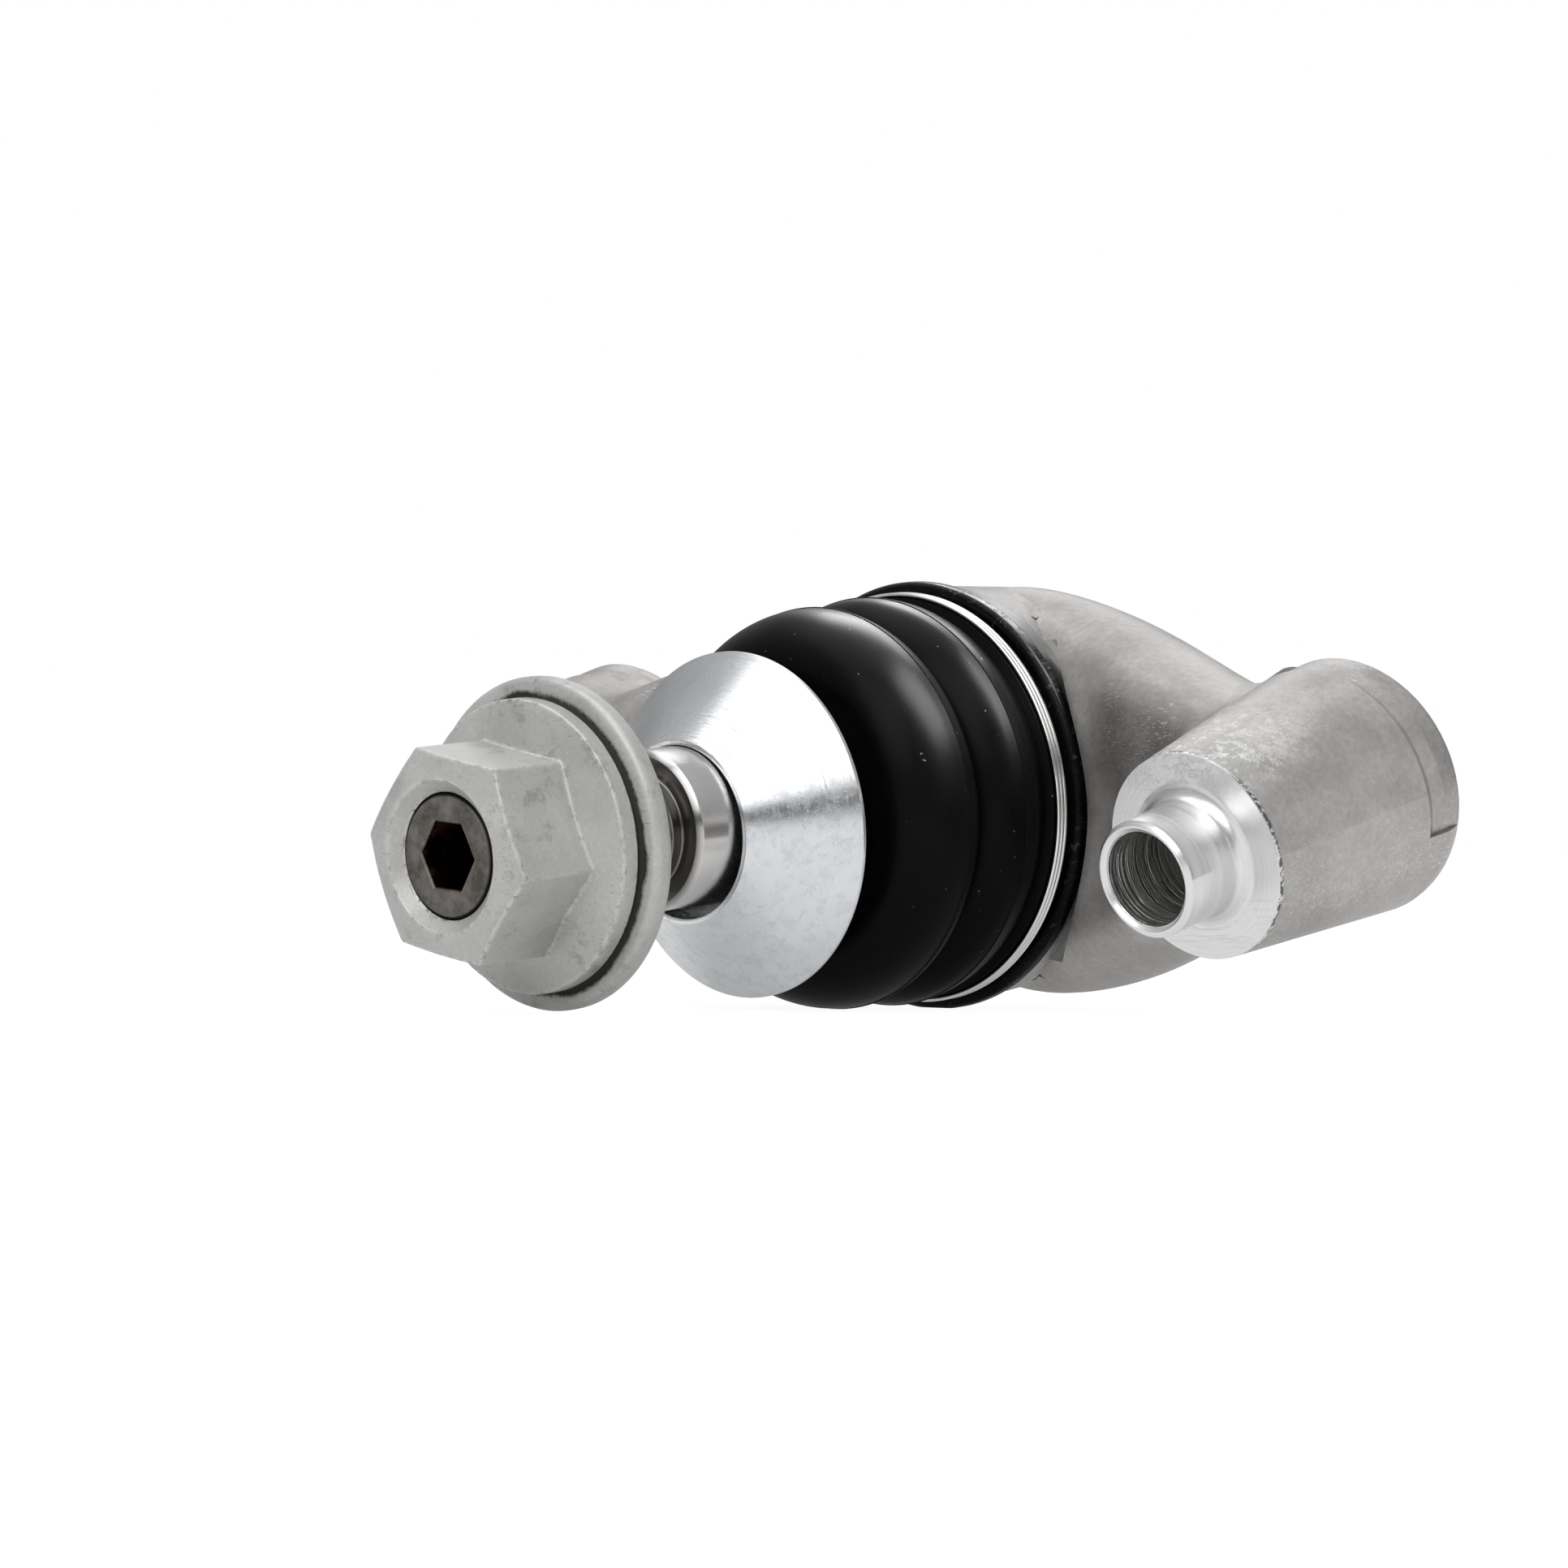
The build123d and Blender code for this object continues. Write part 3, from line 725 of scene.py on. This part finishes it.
def cast_aluminium():
    """Warm grey cast aluminium, mottled and scratched, with bright machined faces."""
    finish = Finish("cast aluminium", IOR=1.5)
    broad = finish.noise(45.0, 3.0, 0.5)
    mottle = finish.noise(190.0, 6.0, 0.62)
    fine = finish.noise(1500.0, 4.0, 0.65)
    cast, scratch = shaded_soiled_casting(finish, mottle, fine, broad)

    along, radial, up = boss_place(finish)
    worn = finish.product(
        finish.step(along, *worn_alongs),
        finish.step(up, *worn_heights),
        finish.patches(520.0, 6.0, 0.85, (0.5, 0.0), (0.56, 1.0)),
        finish.step(radial, *worn_radii),
    )
    cast = finish.over(cast, worn, 0.75, 0.94)

    x = finish.parts_of_place()[0]
    out = finish.out()
    distance = finish.from_axis()
    ragged = finish.maths("MULTIPLY_ADD", finish.noise(800.0, 4.0, 0.7), 0.5, -0.25)
    edge = finish.maths("ADD", along, ragged)
    boss = finish.product(finish.step(edge, -0.4, -0.3), finish.step(radial, *boss_ring_radii))
    band = finish.product(
        finish.step(out, neck_band_out - 0.1, neck_band_out),
        finish.step(distance, neck_band_radius + 0.1, neck_band_radius),
    )
    facing = finish.product(
        finish.step(out, facing_out - 0.08, facing_out - 0.03),
        finish.step(distance, facing_radius + 0.06, facing_radius + 0.03),
        finish.step(x, -0.02, -0.021),
    )
    back = finish.product(finish.step(out, *back_face_outs), finish.step(distance, *back_face_radii))
    machined = finish.largest(boss, band, facing, back)

    tool = finish.turning(0.5, 2600.0, 4.0, 0.7)
    spiral = finish.vector(
        finish.product(radial, 2.4),
        finish.product(along, 2.4),
        finish.product(broad, 1.5),
    )
    marks = finish.mix(boss, tool, finish.noise(1.0, 4.0, 0.65, spiral))
    bright = finish.ramp(marks, (0.3, 0.72), (0.7, 0.86))
    # The neck band and the facing get a darker metal: painted dark reflection of the black boot on
    # machined faces
    bright = finish.mix(band, bright, finish.ramp(mottle, (0.35, 0.30), (0.7, 0.5)))
    bright = finish.mix(facing, bright, finish.ramp(tool, (0.35, 0.34), (0.65, 0.6)))
    bore = finish.product(
        finish.step(radial, bolt_hole_radius + 0.12, bolt_hole_radius + 0.06),
        finish.step(along, spigot_length, spigot_length - 0.5),
    )
    threads = finish.vector(
        finish.product(along, 2.2), finish.product(mottle, 2.0)
    )
    inside = finish.noise(1.0, 3.0, 0.6, threads)
    soot = finish.ramp(inside, (0.40, (0.5, 0.495, 0.48)), (0.62, (0.97, 0.965, 0.95)))
    bright = finish.mix(bore, bright, soot)
    burr = finish.product(
        finish.step(edge, -0.8, -0.5),
        finish.step(along, -0.1, -0.2),
        finish.step(radial, *burr_inner_radii),
        finish.step(radial, *burr_outer_radii),
        finish.step(finish.noise(60.0, 2.0, 0.5), 0.48, 0.56),
    )
    flick = finish.patches(1300.0, 3.0, 0.7, (0.45, 0.04), (0.55, 0.95))
    base = finish.over(finish.mix(machined, cast, bright), burr, 0.85, flick)
    metal = finish.ramp(machined, (0.0, 0.75), (1.0, 1.0))
    rough = finish.ramp(mottle, (0.3, 0.34), (0.7, 0.44))
    rough = finish.mix(machined, rough, finish.ramp(marks, (0.3, 0.24), (0.7, 0.4)))
    rough = finish.mix(worn, rough, 0.3)
    raw = finish.maths("SUBTRACT", 1.0, machined)
    relief = finish.relief(
        (finish.product(fine, raw), 0.00002, 1.0),
        (finish.product(mottle, raw), 0.00012, 0.5),
        (scratch, 0.00003, 0.6),
        (worn, 0.00005, 0.8),
        (finish.product(marks, machined), 0.00001, 1.0),
        (finish.product(inside, bore), 0.0003, 1.0),
    )
    return finish.use(Base_Color=base, Roughness=rough, Metallic=metal, Normal=relief)


def dress(node, material):
    """Gives a solid of the frame its finish."""
    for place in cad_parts[node].material_slots:
        place.material = material


def stand_for(piece, node, body, material):
    """A modelled piece that is shown in a solid's place and moves with its body."""
    piece.data.materials.append(material)
    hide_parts(node)
    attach(piece, body)


def make_nut():
    """Hexagon nut with a chamfered countersunk front and a sloping flange."""
    front_slope = tan(radians(nut_front_slope))
    back_slope = tan(radians(flange_slope))
    bore = thread_radius + nut_thread_clearance

    def profile(angle):
        side = hexagon_radius(angle, nut_across_flats, nut_turn, nut_corner_round)
        corners = [
            (bore, nut_lip_end_out + nut_lead, 0),
            (bore, nut_mouth_out - bore + nut_mouth_radius, 0),
            (nut_mouth_radius, nut_mouth_out, 0.05),
            (nut_countersink_radius, nut_front_out, 0.2),
            (nut_chamfer_radius, nut_front_out, 0.6),
            (side, nut_front_out - (side - nut_chamfer_radius) * front_slope, 0.22),
            (side, nut_rim_front_out + (flange_radius - side) * back_slope, 0.35),
            (flange_radius, nut_rim_front_out, 0.3),
            (flange_radius, nut_rim_back_out, 0.25),
            (nut_neck_radius, nut_rim_back_out, 0.1),
            (nut_neck_radius, nut_neck_end_out, 0.1),
            (nut_lip_radius, nut_neck_end_out, 0.1),
            (nut_lip_radius, nut_lip_end_out, 0.2),
            (bore + nut_lead, nut_lip_end_out, 0),
        ]
        return rounded(corners)

    return turned_piece("nut", profile, hexagon_angles(nut_turn, radians(2.0)))


def make_washer():
    """Thick washer with a rounded edge."""
    corners = [
        (washer_bore_radius, washer_front_out, 0.3),
        (washer_land_radius, washer_front_out, 0.2),
        (washer_land_radius + washer_land_slope, washer_edge_out, 0.2),
        (washer_radius, washer_edge_out, washer_edge_round),
        (washer_radius, washer_back_out, washer_edge_round),
        (washer_counterbore_radius, washer_back_out, 0.2),
        (washer_counterbore_radius, washer_counterbore_out, 0.1),
        (washer_bore_radius, washer_counterbore_out, 0.1),
    ]
    return plain_ring("washer", rounded(corners, 8), 180)


def make_cone():
    """Cone ring with a thin rim and a 45 degree seat, hanging loose on the shank by its clearance."""
    rim_out = cone_back_out + cone_rim_thickness
    face_out = rim_out + cone_rim_radius - cone_face_radius
    corners = [
        (cone_bore_radius, cone_back_out, 0.2),
        (cone_rim_radius, cone_back_out, 0.15),
        (cone_rim_radius, rim_out, 0.12),
        (cone_face_radius, face_out, 0.15),
        (cone_bore_radius, face_out, 0.2),
    ]
    cone = plain_ring("cone", rounded(corners), 240)
    cone.data.transform(Matrix.Translation((0, 0, -cone_drop * MM)))
    return cone


def thread_places():
    """Distances out along the thread, a few to a turn."""
    start = shank_end_out + relief_length
    end = stud_end_out - stud_end_chamfer
    steps = int((end - start) / thread_pitch * thread_steps)
    return [start + (end - start) * i / steps for i in range(steps + 1)]


def make_stud():
    """Ball stud with its thread cut as a helix and the hexagon socket in its end."""
    flat_out = -sqrt(ball_radius**2 - ball_flat_radius**2)
    thread_outs = thread_places()
    thread_start = thread_outs[0]

    def thread_cut(angle, out):
        turn = (out / thread_pitch - angle / (2 * pi)) % 1.0
        wave = abs(2 * turn - 1)
        cut = min(1.0, max(0.0, (wave - thread_crest) / (1 - 2 * thread_crest)))
        ends = min(1.0, (out - thread_start) / thread_pitch, (thread_outs[-1] - out) / thread_fade)
        return thread_depth * cut * max(0.0, ends)

    def profile(angle):
        points = [(0.0, flat_out)]
        start = acos(flat_out / ball_radius)
        end = acos(sqrt(ball_radius**2 - neck_radius**2) / ball_radius)
        for i in range(ball_steps + 1):
            turn = start + (end - start) * i / ball_steps
            points.append((ball_radius * sin(turn), ball_radius * cos(turn)))
        shank = [
            (neck_radius, neck_start_out, 0),
            (neck_radius, neck_end_out, 0),
            (boot_seat_radius, boot_seat_start_out, 0),
            (boot_seat_radius, cone_back_out - collar_thickness, 0.1),
            (collar_radius, cone_back_out - collar_thickness, 0.2),
            (collar_radius, cone_back_out, 0.1),
            (shank_radius, cone_back_out, 0.1),
            (shank_radius, shank_end_out - shank_chamfer, 0.15),
            (shank_radius - shank_chamfer, shank_end_out, 0.1),
            (relief_radius, shank_end_out, 0.3),
            (relief_radius, thread_start - thread_radius + relief_radius, 0.2),
            (thread_radius, thread_start, 0),
        ]
        points += rounded(shank, 3)
        for out in thread_outs[1:]:
            points.append((thread_radius - thread_cut(angle, out), out))
        socket = hexagon_radius(angle, socket_across_flats, socket_turn)
        end_face = [
            (thread_radius, stud_end_out - stud_end_chamfer, 0),
            (thread_radius - stud_end_chamfer, stud_end_out, 0.1),
            (socket + socket_edge, stud_end_out, 0.05),
            (socket, stud_end_out - socket_edge, 0.05),
            (socket, stud_end_out - socket_depth, 0.1),
            (0.0, stud_end_out - socket_depth - socket_tip, 0),
        ]
        return points + rounded(end_face, 3)[1:]

    angles = hexagon_angles(socket_turn, radians(1.0), 2, 18)
    return turned_piece("stud", profile, angles, closed_profile=False)


def dome(inset, steps=24):
    """Points of the quarter oval from the front lobe's crest to its flat wall, set in by a wall."""
    high = front_lobe[0] - front_wall_radius - inset
    deep = front_wall_out - front_lobe[1] - inset
    turns = [pi / 2 * i / steps for i in range(steps + 1)]
    return [(front_wall_radius + high * cos(a), front_lobe[1] + deep * sin(a)) for a in turns]


def seam(crest):
    """Points of the fine line that a mould leaves along a lobe's crest."""
    across, out = crest
    half = seam_width / 2
    high = across + seam_height
    return [(across, out - half), (high, out - half / 3), (high, out + half / 3), (across, out + half)]


def make_rear_boot():
    """Rear lobe of the boot with the clamp groove and the flared lip on the housing."""
    groove_start = boot_bead_end_out + 0.1
    groove_end = 2 * clamp_out - groove_start
    ahead = valley[1] - rear_lobe[1]
    bead = [
        (boot_mouth_radius, housing_front_out - 0.15),
        (boot_mouth_radius, boot_groove_end_out - fit),
        (boot_bead_radius, boot_groove_end_out - fit),
        (boot_bead_radius, boot_groove_start_out + fit),
    ]
    lip = [
        (boot_bead_radius, boot_groove_start_out + fit, 0),
        (boot_lip_radius, boot_groove_start_out + 0.05, 0.4),
        (boot_lip_radius, boot_bead_end_out, boot_bead_round),
        (clamp_groove_radius, boot_bead_end_out, 0.1),
        (clamp_groove_radius, groove_start + 0.05, 0),
        (clamp_groove_radius, groove_end - 0.2, 0.2),
        (*rear_lobe, 0),
    ]
    behind = flank(rear_lobe, groove_end + 0.3, rear_lobe_reach, 0)[:0:-1]
    outer = behind[:-1] + seam(rear_lobe) + flank(rear_lobe, valley[1], ahead, 0)[2:]
    inside = flank(rear_lobe, valley[1], ahead, boot_wall)[::-1]
    loop = rounded(lip, 6)[1:-1] + outer + inside + bead
    return plain_ring("boot_rear", loop, 240)


def make_front_boot():
    """Front lobe of the boot, from the valley to its neck on the stud."""
    bore = boot_seat_radius + fit
    groove_radius = boot_neck_radius - neck_groove_depth
    groove_outs = (neck_ring_out - neck_wire / 2, neck_ring_out + neck_wire / 2)
    reach = front_lobe[1] - valley[1]
    outer = flank(front_lobe, valley[1], reach, 0)[:1:-1] + seam(front_lobe) + dome(0)[2:]
    neck = [
        (boot_neck_radius, front_wall_out, 0.5),
        (boot_neck_radius, groove_outs[0], 0),
        (groove_radius, groove_outs[0], 0),
        (groove_radius, groove_outs[1], 0),
        (boot_neck_radius, groove_outs[1], 0),
        (boot_neck_radius, boot_neck_end_out, 0.2),
        (bore, boot_neck_end_out, 0.1),
        (bore, front_wall_out - boot_wall, 0.3),
    ]
    first = outer[-1]
    behind = dome(boot_wall)[::-1]
    last = behind[0]
    front = rounded([(*first, 0)] + neck + [(*last, 0)], 4)[1:-1]
    inside = flank(front_lobe, valley[1], reach, boot_wall)
    loop = outer + front + behind + inside[1:]
    return plain_ring("boot_front", loop, 240)


def make_wire_clamp():
    """Spring wire wound three times round the boot, as one tube along its helix."""
    sides = clamp_sides
    total = clamp_turns * clamp_steps
    centre = clamp_groove_radius + clamp_wire / 2 + fit
    points = []
    faces = []
    for i in range(total + 1):
        share = i / total
        angle = 2 * pi * clamp_turns * share + radians(clamp_start_turn)
        middle = clamp_out + (share - 0.5) * (clamp_turns - 1) * clamp_pitch
        for k in range(sides):
            turn = 2 * pi * k / sides
            across = centre + clamp_wire / 2 * cos(turn)
            out = middle + clamp_wire / 2 * sin(turn)
            points.append(Vector((across * cos(angle), -out, across * sin(angle))) * MM)
    for i in range(total):
        for k in range(sides):
            m = (k + 1) % sides
            a = i * sides
            b = a + sides
            faces.append((a + k, a + m, b + m, b + k))
    faces.append(tuple(range(sides)))
    faces.append(tuple(total * sides + k for k in reversed(range(sides))))
    return finish_mesh(new_piece("clamp_wire", points, faces), 60.0)


def evened_mesh(source, size):
    """A copy of an object's mesh in the shared frame, made of even faces."""
    piece = placed("even", source.data.copy())
    piece.matrix_world = source.matrix_world
    evener = piece.modifiers.new("even", "REMESH")
    evener.mode = "VOXEL"
    evener.voxel_size = size
    seen = piece.evaluated_get(bpy.context.evaluated_depsgraph_get())
    mesh = bpy.data.meshes.new_from_object(seen)
    mesh.transform(source.matrix_world)
    bpy.data.objects.remove(piece)
    return mesh


def smoothed_places(mesh, rounds):
    """The places of a mesh's corners, each time moved half way to the mean of its neighbours."""
    places = np.empty(len(mesh.vertices) * 3)
    mesh.vertices.foreach_get("co", places)
    places = places.reshape(-1, 3)
    edges = np.empty(len(mesh.edges) * 2, dtype=int)
    mesh.edges.foreach_get("vertices", edges)
    first, second = edges.reshape(-1, 2).T
    count = len(places)
    neighbours = np.bincount(first, minlength=count) + np.bincount(second, minlength=count)
    smooth = places.copy()
    for _ in range(rounds):
        for axis in range(3):
            near = np.bincount(first, smooth[second, axis], count)
            near += np.bincount(second, smooth[first, axis], count)
            smooth[:, axis] += (near / neighbours - smooth[:, axis]) / 2
    return places, smooth


def blend_share(places):
    """How much of the smoothing each place takes: none near what is machined."""
    x, y, z = places.T / MM
    out = -y
    across = abs(x)
    radius = np.hypot(x, z)
    tilt = radians(boss_tilt)
    along = (out - boss_face_out) * cos(tilt) - (z - boss_face_z) * sin(tilt)
    neck = np.maximum(radius - neck_band_radius - blend_gap, blend_neck_out - out)
    cut = np.maximum(np.maximum(radius - facing_radius - blend_gap, facing_out - blend_gap - out), x)
    back = radius - blend_back_radius
    boss = -blend_gap - along
    share = np.ones(len(x))
    for room in (across - blend_start_x, blend_end_x - across, neck, cut, back, boss):
        share *= np.clip(room / blend_fade, 0, 1)
    return share


def make_casting_blends(material):
    """Skin that lies in the corners between barrel, arms and bosses, where the casting is soft."""
    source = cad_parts["housing"]
    mesh = evened_mesh(source, blend_mesh_size * MM)
    places, smooth = smoothed_places(mesh, blend_rounds)
    share = blend_share(places)[:, None]
    places += (smooth - places) * share
    corners = [source.matrix_world @ corner.co for corner in source.data.vertices]
    solid = BVHTree.FromPolygons(corners, [tuple(face.vertices) for face in source.data.polygons])
    proud = np.zeros(len(places), dtype=bool)
    for i in np.flatnonzero(share[:, 0] > 0):
        nearest, normal, _, _ = solid.find_nearest(Vector(places[i]))
        places[i] -= np.array(normal) * blend_sink * MM
        proud[i] = (Vector(places[i]) - nearest).dot(normal) > 0
    mesh.vertices.foreach_set("co", places.ravel())
    skin = placed("casting_blends", mesh)
    work = bmesh.new()
    work.from_mesh(mesh)
    work.verts.ensure_lookup_table()
    for _ in range(2):
        wider = proud.copy()
        for edge in work.edges:
            a, b = edge.verts[0].index, edge.verts[1].index
            if proud[a] or proud[b]:
                wider[a] = True
                wider[b] = True
        proud = wider
    hidden = [corner for corner in work.verts if not proud[corner.index]]
    bmesh.ops.delete(work, geom=hidden, context="VERTS")
    for face in work.faces:
        face.smooth = True
    work.to_mesh(mesh)
    work.free()
    mesh.materials.clear()
    mesh.materials.append(material)
    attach(skin, "housing")


def make_stage():
    """White floor for the eye and for reflections, which keeps a faint shadow of the object."""
    tilt = radians(floor_nose_down)
    up = Vector((0, sin(tilt), cos(tilt)))
    lip_foot = Vector((0, -boot_groove_start_out, -boot_lip_radius)) * MM
    side = Vector((1, 0, 0)) * floor_reach
    along = up.cross(side)
    corners = [lip_foot + side * a + along * b for a, b in ((-1, -1), (1, -1), (1, 1), (-1, 1))]
    plane = new_piece("floor", corners, [(0, 1, 2, 3)])
    material = bpy.data.materials.new("floor")
    material.use_nodes = True
    tree = material.node_tree
    tree.nodes.clear()
    rays = add_node(tree, "ShaderNodeLightPath")
    last = floor_shader(tree, floor_grey, floor_plain_glow)
    mirrored = floor_shader(tree, floor_grey, floor_mirrored_glow)
    seen = floor_shader(tree, floor_seen_grey, floor_seen_glow)
    choices = [("Is Glossy Ray", mirrored), ("Is Transmission Ray", mirrored), ("Is Camera Ray", seen)]
    for ray, shader in choices:
        last = add_node(tree, "ShaderNodeMixShader", i0=rays[ray], i1=last, i2=shader)[0]
    add_node(tree, "ShaderNodeOutputMaterial", i0=last)
    plane.data.materials.append(material)


def floor_shader(tree, grey, glow):
    """A diffuse grey with some light of its own."""
    diffuse = add_node(tree, "ShaderNodeBsdfDiffuse", Color=shade(grey))[0]
    emission = add_node(tree, "ShaderNodeEmission", Strength=glow)[0]
    return add_node(tree, "ShaderNodeAddShader", i0=diffuse, i1=emission)[0]


def make_world():
    """White behind the object for the eye; a room with a dark place behind the camera for the rest."""
    world = bpy.data.worlds.new("studio")
    bpy.context.scene.world = world
    world.use_nodes = True
    tree = world.node_tree
    tree.nodes.clear()
    towards = add_node(tree, "ShaderNodeTexCoord")["Generated"]
    height = add_node(tree, "ShaderNodeSeparateXYZ", i0=towards)["Z"]
    scaled = {"operation": "MULTIPLY_ADD"}
    share = add_node(tree, "ShaderNodeMath", scaled, i0=height, i1=0.5, i2=0.5)[0]
    camera = tuple(direction(camera_azimuth, camera_elevation))
    agree = {"operation": "DOT_PRODUCT"}
    facing = add_node(tree, "ShaderNodeVectorMath", agree, i0=towards, i1=camera)["Value"]
    room = add_ramp(tree, share, room_greys)
    dark = add_ramp(tree, facing, dark_place)
    multiply = {"data_type": "RGBA", "blend_type": "MULTIPLY"}
    both = add_node(tree, "ShaderNodeMix", multiply, i0=1.0, i6=room, i7=dark)[2]
    around = add_node(tree, "ShaderNodeBackground", Color=both)[0]
    behind = add_node(tree, "ShaderNodeBackground", Color=shade(1.0))[0]
    to_eye = add_node(tree, "ShaderNodeLightPath")["Is Camera Ray"]
    choose = add_node(tree, "ShaderNodeMixShader", i0=to_eye, i1=around, i2=behind)[0]
    add_node(tree, "ShaderNodeOutputWorld", i0=choose)


def direction(azimuth, elevation):
    """The direction from the ball at an azimuth counted from -Y towards +X, and an elevation."""
    a = radians(azimuth)
    e = radians(elevation)
    return Vector((sin(a) * cos(e), -cos(a) * cos(e), sin(e)))


def make_lamp(name, azimuth, elevation, distance, width, height, power):
    """A soft rectangular lamp that faces the ball."""
    lamp = bpy.data.lights.new(name, "AREA")
    lamp.shape = "RECTANGLE"
    lamp.size = width
    lamp.size_y = height
    lamp.energy = power
    holder = placed(name, lamp)
    towards = direction(azimuth, elevation)
    holder.location = towards * distance
    holder.rotation_euler = (-towards).to_track_quat("-Z", "Y").to_euler()
    return holder


def make_camera():
    """The camera where the photograph was taken from."""
    back = direction(camera_azimuth, camera_elevation)
    right = back.cross(Vector((0, 0, 1))).normalized() * -1
    up = back.cross(right)
    roll = radians(camera_roll)
    rolled_right = right * cos(roll) - up * sin(roll)
    rolled_up = right * sin(roll) + up * cos(roll)
    centre = photo_width / 2
    per_pixel = camera_distance / camera_focal_pixels
    offset_right = (ball_pixel[0] - centre) * per_pixel
    offset_down = (ball_pixel[1] - centre) * per_pixel
    place = back * camera_distance - rolled_right * offset_right + rolled_up * offset_down
    turn = Matrix((rolled_right, rolled_up, back)).transposed()
    data = bpy.data.cameras.new("camera")
    data.sensor_width = sensor_width
    data.lens = camera_focal_pixels / photo_width * sensor_width
    data.clip_start = 0.01
    holder = placed("camera", data)
    holder.matrix_world = Matrix.Translation(place * MM) @ turn.to_4x4()
    bpy.context.scene.camera = holder


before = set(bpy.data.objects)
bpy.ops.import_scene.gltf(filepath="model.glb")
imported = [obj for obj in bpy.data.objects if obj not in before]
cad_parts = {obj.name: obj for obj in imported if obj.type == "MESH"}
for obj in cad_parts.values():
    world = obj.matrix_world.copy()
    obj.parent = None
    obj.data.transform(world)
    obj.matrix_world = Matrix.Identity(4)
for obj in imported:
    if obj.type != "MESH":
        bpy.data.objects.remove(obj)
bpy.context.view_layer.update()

zinc = zinc_flake()
steel = ground_steel()
bright = turned_aluminium()
wire = spring_wire()
rubber = boot_rubber()
plastic = bearing_plastic()
cast = cast_aluminium()

dress("housing", cast)
dress("closing_cover", zinc)
dress("front_bearing_shell", plastic)
dress("rear_bearing_shell", plastic)
dress("boot_neck_ring", wire)

stand_for(make_nut(), "flange_nut", "nut", zinc)
stand_for(make_washer(), "captive_washer", "washer", zinc)
stand_for(make_cone(), "cone_ring", "stud", bright)
stand_for(make_stud(), "ball_stud", "stud", steel)
stand_for(make_wire_clamp(), "boot_clamp_wire", "housing", wire)

make_casting_blends(cast)

rear_boot = make_rear_boot()
front_boot = make_front_boot()
for piece, bodies, start_out, end_out in (
    (rear_boot, ("housing", "boot"), rear_lobe[1], valley[1]),
    (front_boot, ("boot", "boot_neck"), valley[1], front_wall_out - boot_wall - boot_end_gap),
):
    piece.data.materials.append(rubber)
    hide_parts("dust_boot")
    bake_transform(piece)

make_stage()
make_world()
for lamp in lamps:
    make_lamp(*lamp)
rubber_pieces = bpy.data.collections.new("rubber pieces")
for piece in (rear_boot, front_boot):
    rubber_pieces.objects.link(piece)
for lamp in rubber_lamps:
    make_lamp(*lamp).light_linking.receiver_collection = rubber_pieces
make_camera()
bpy.context.scene.view_settings.view_transform = "Standard"
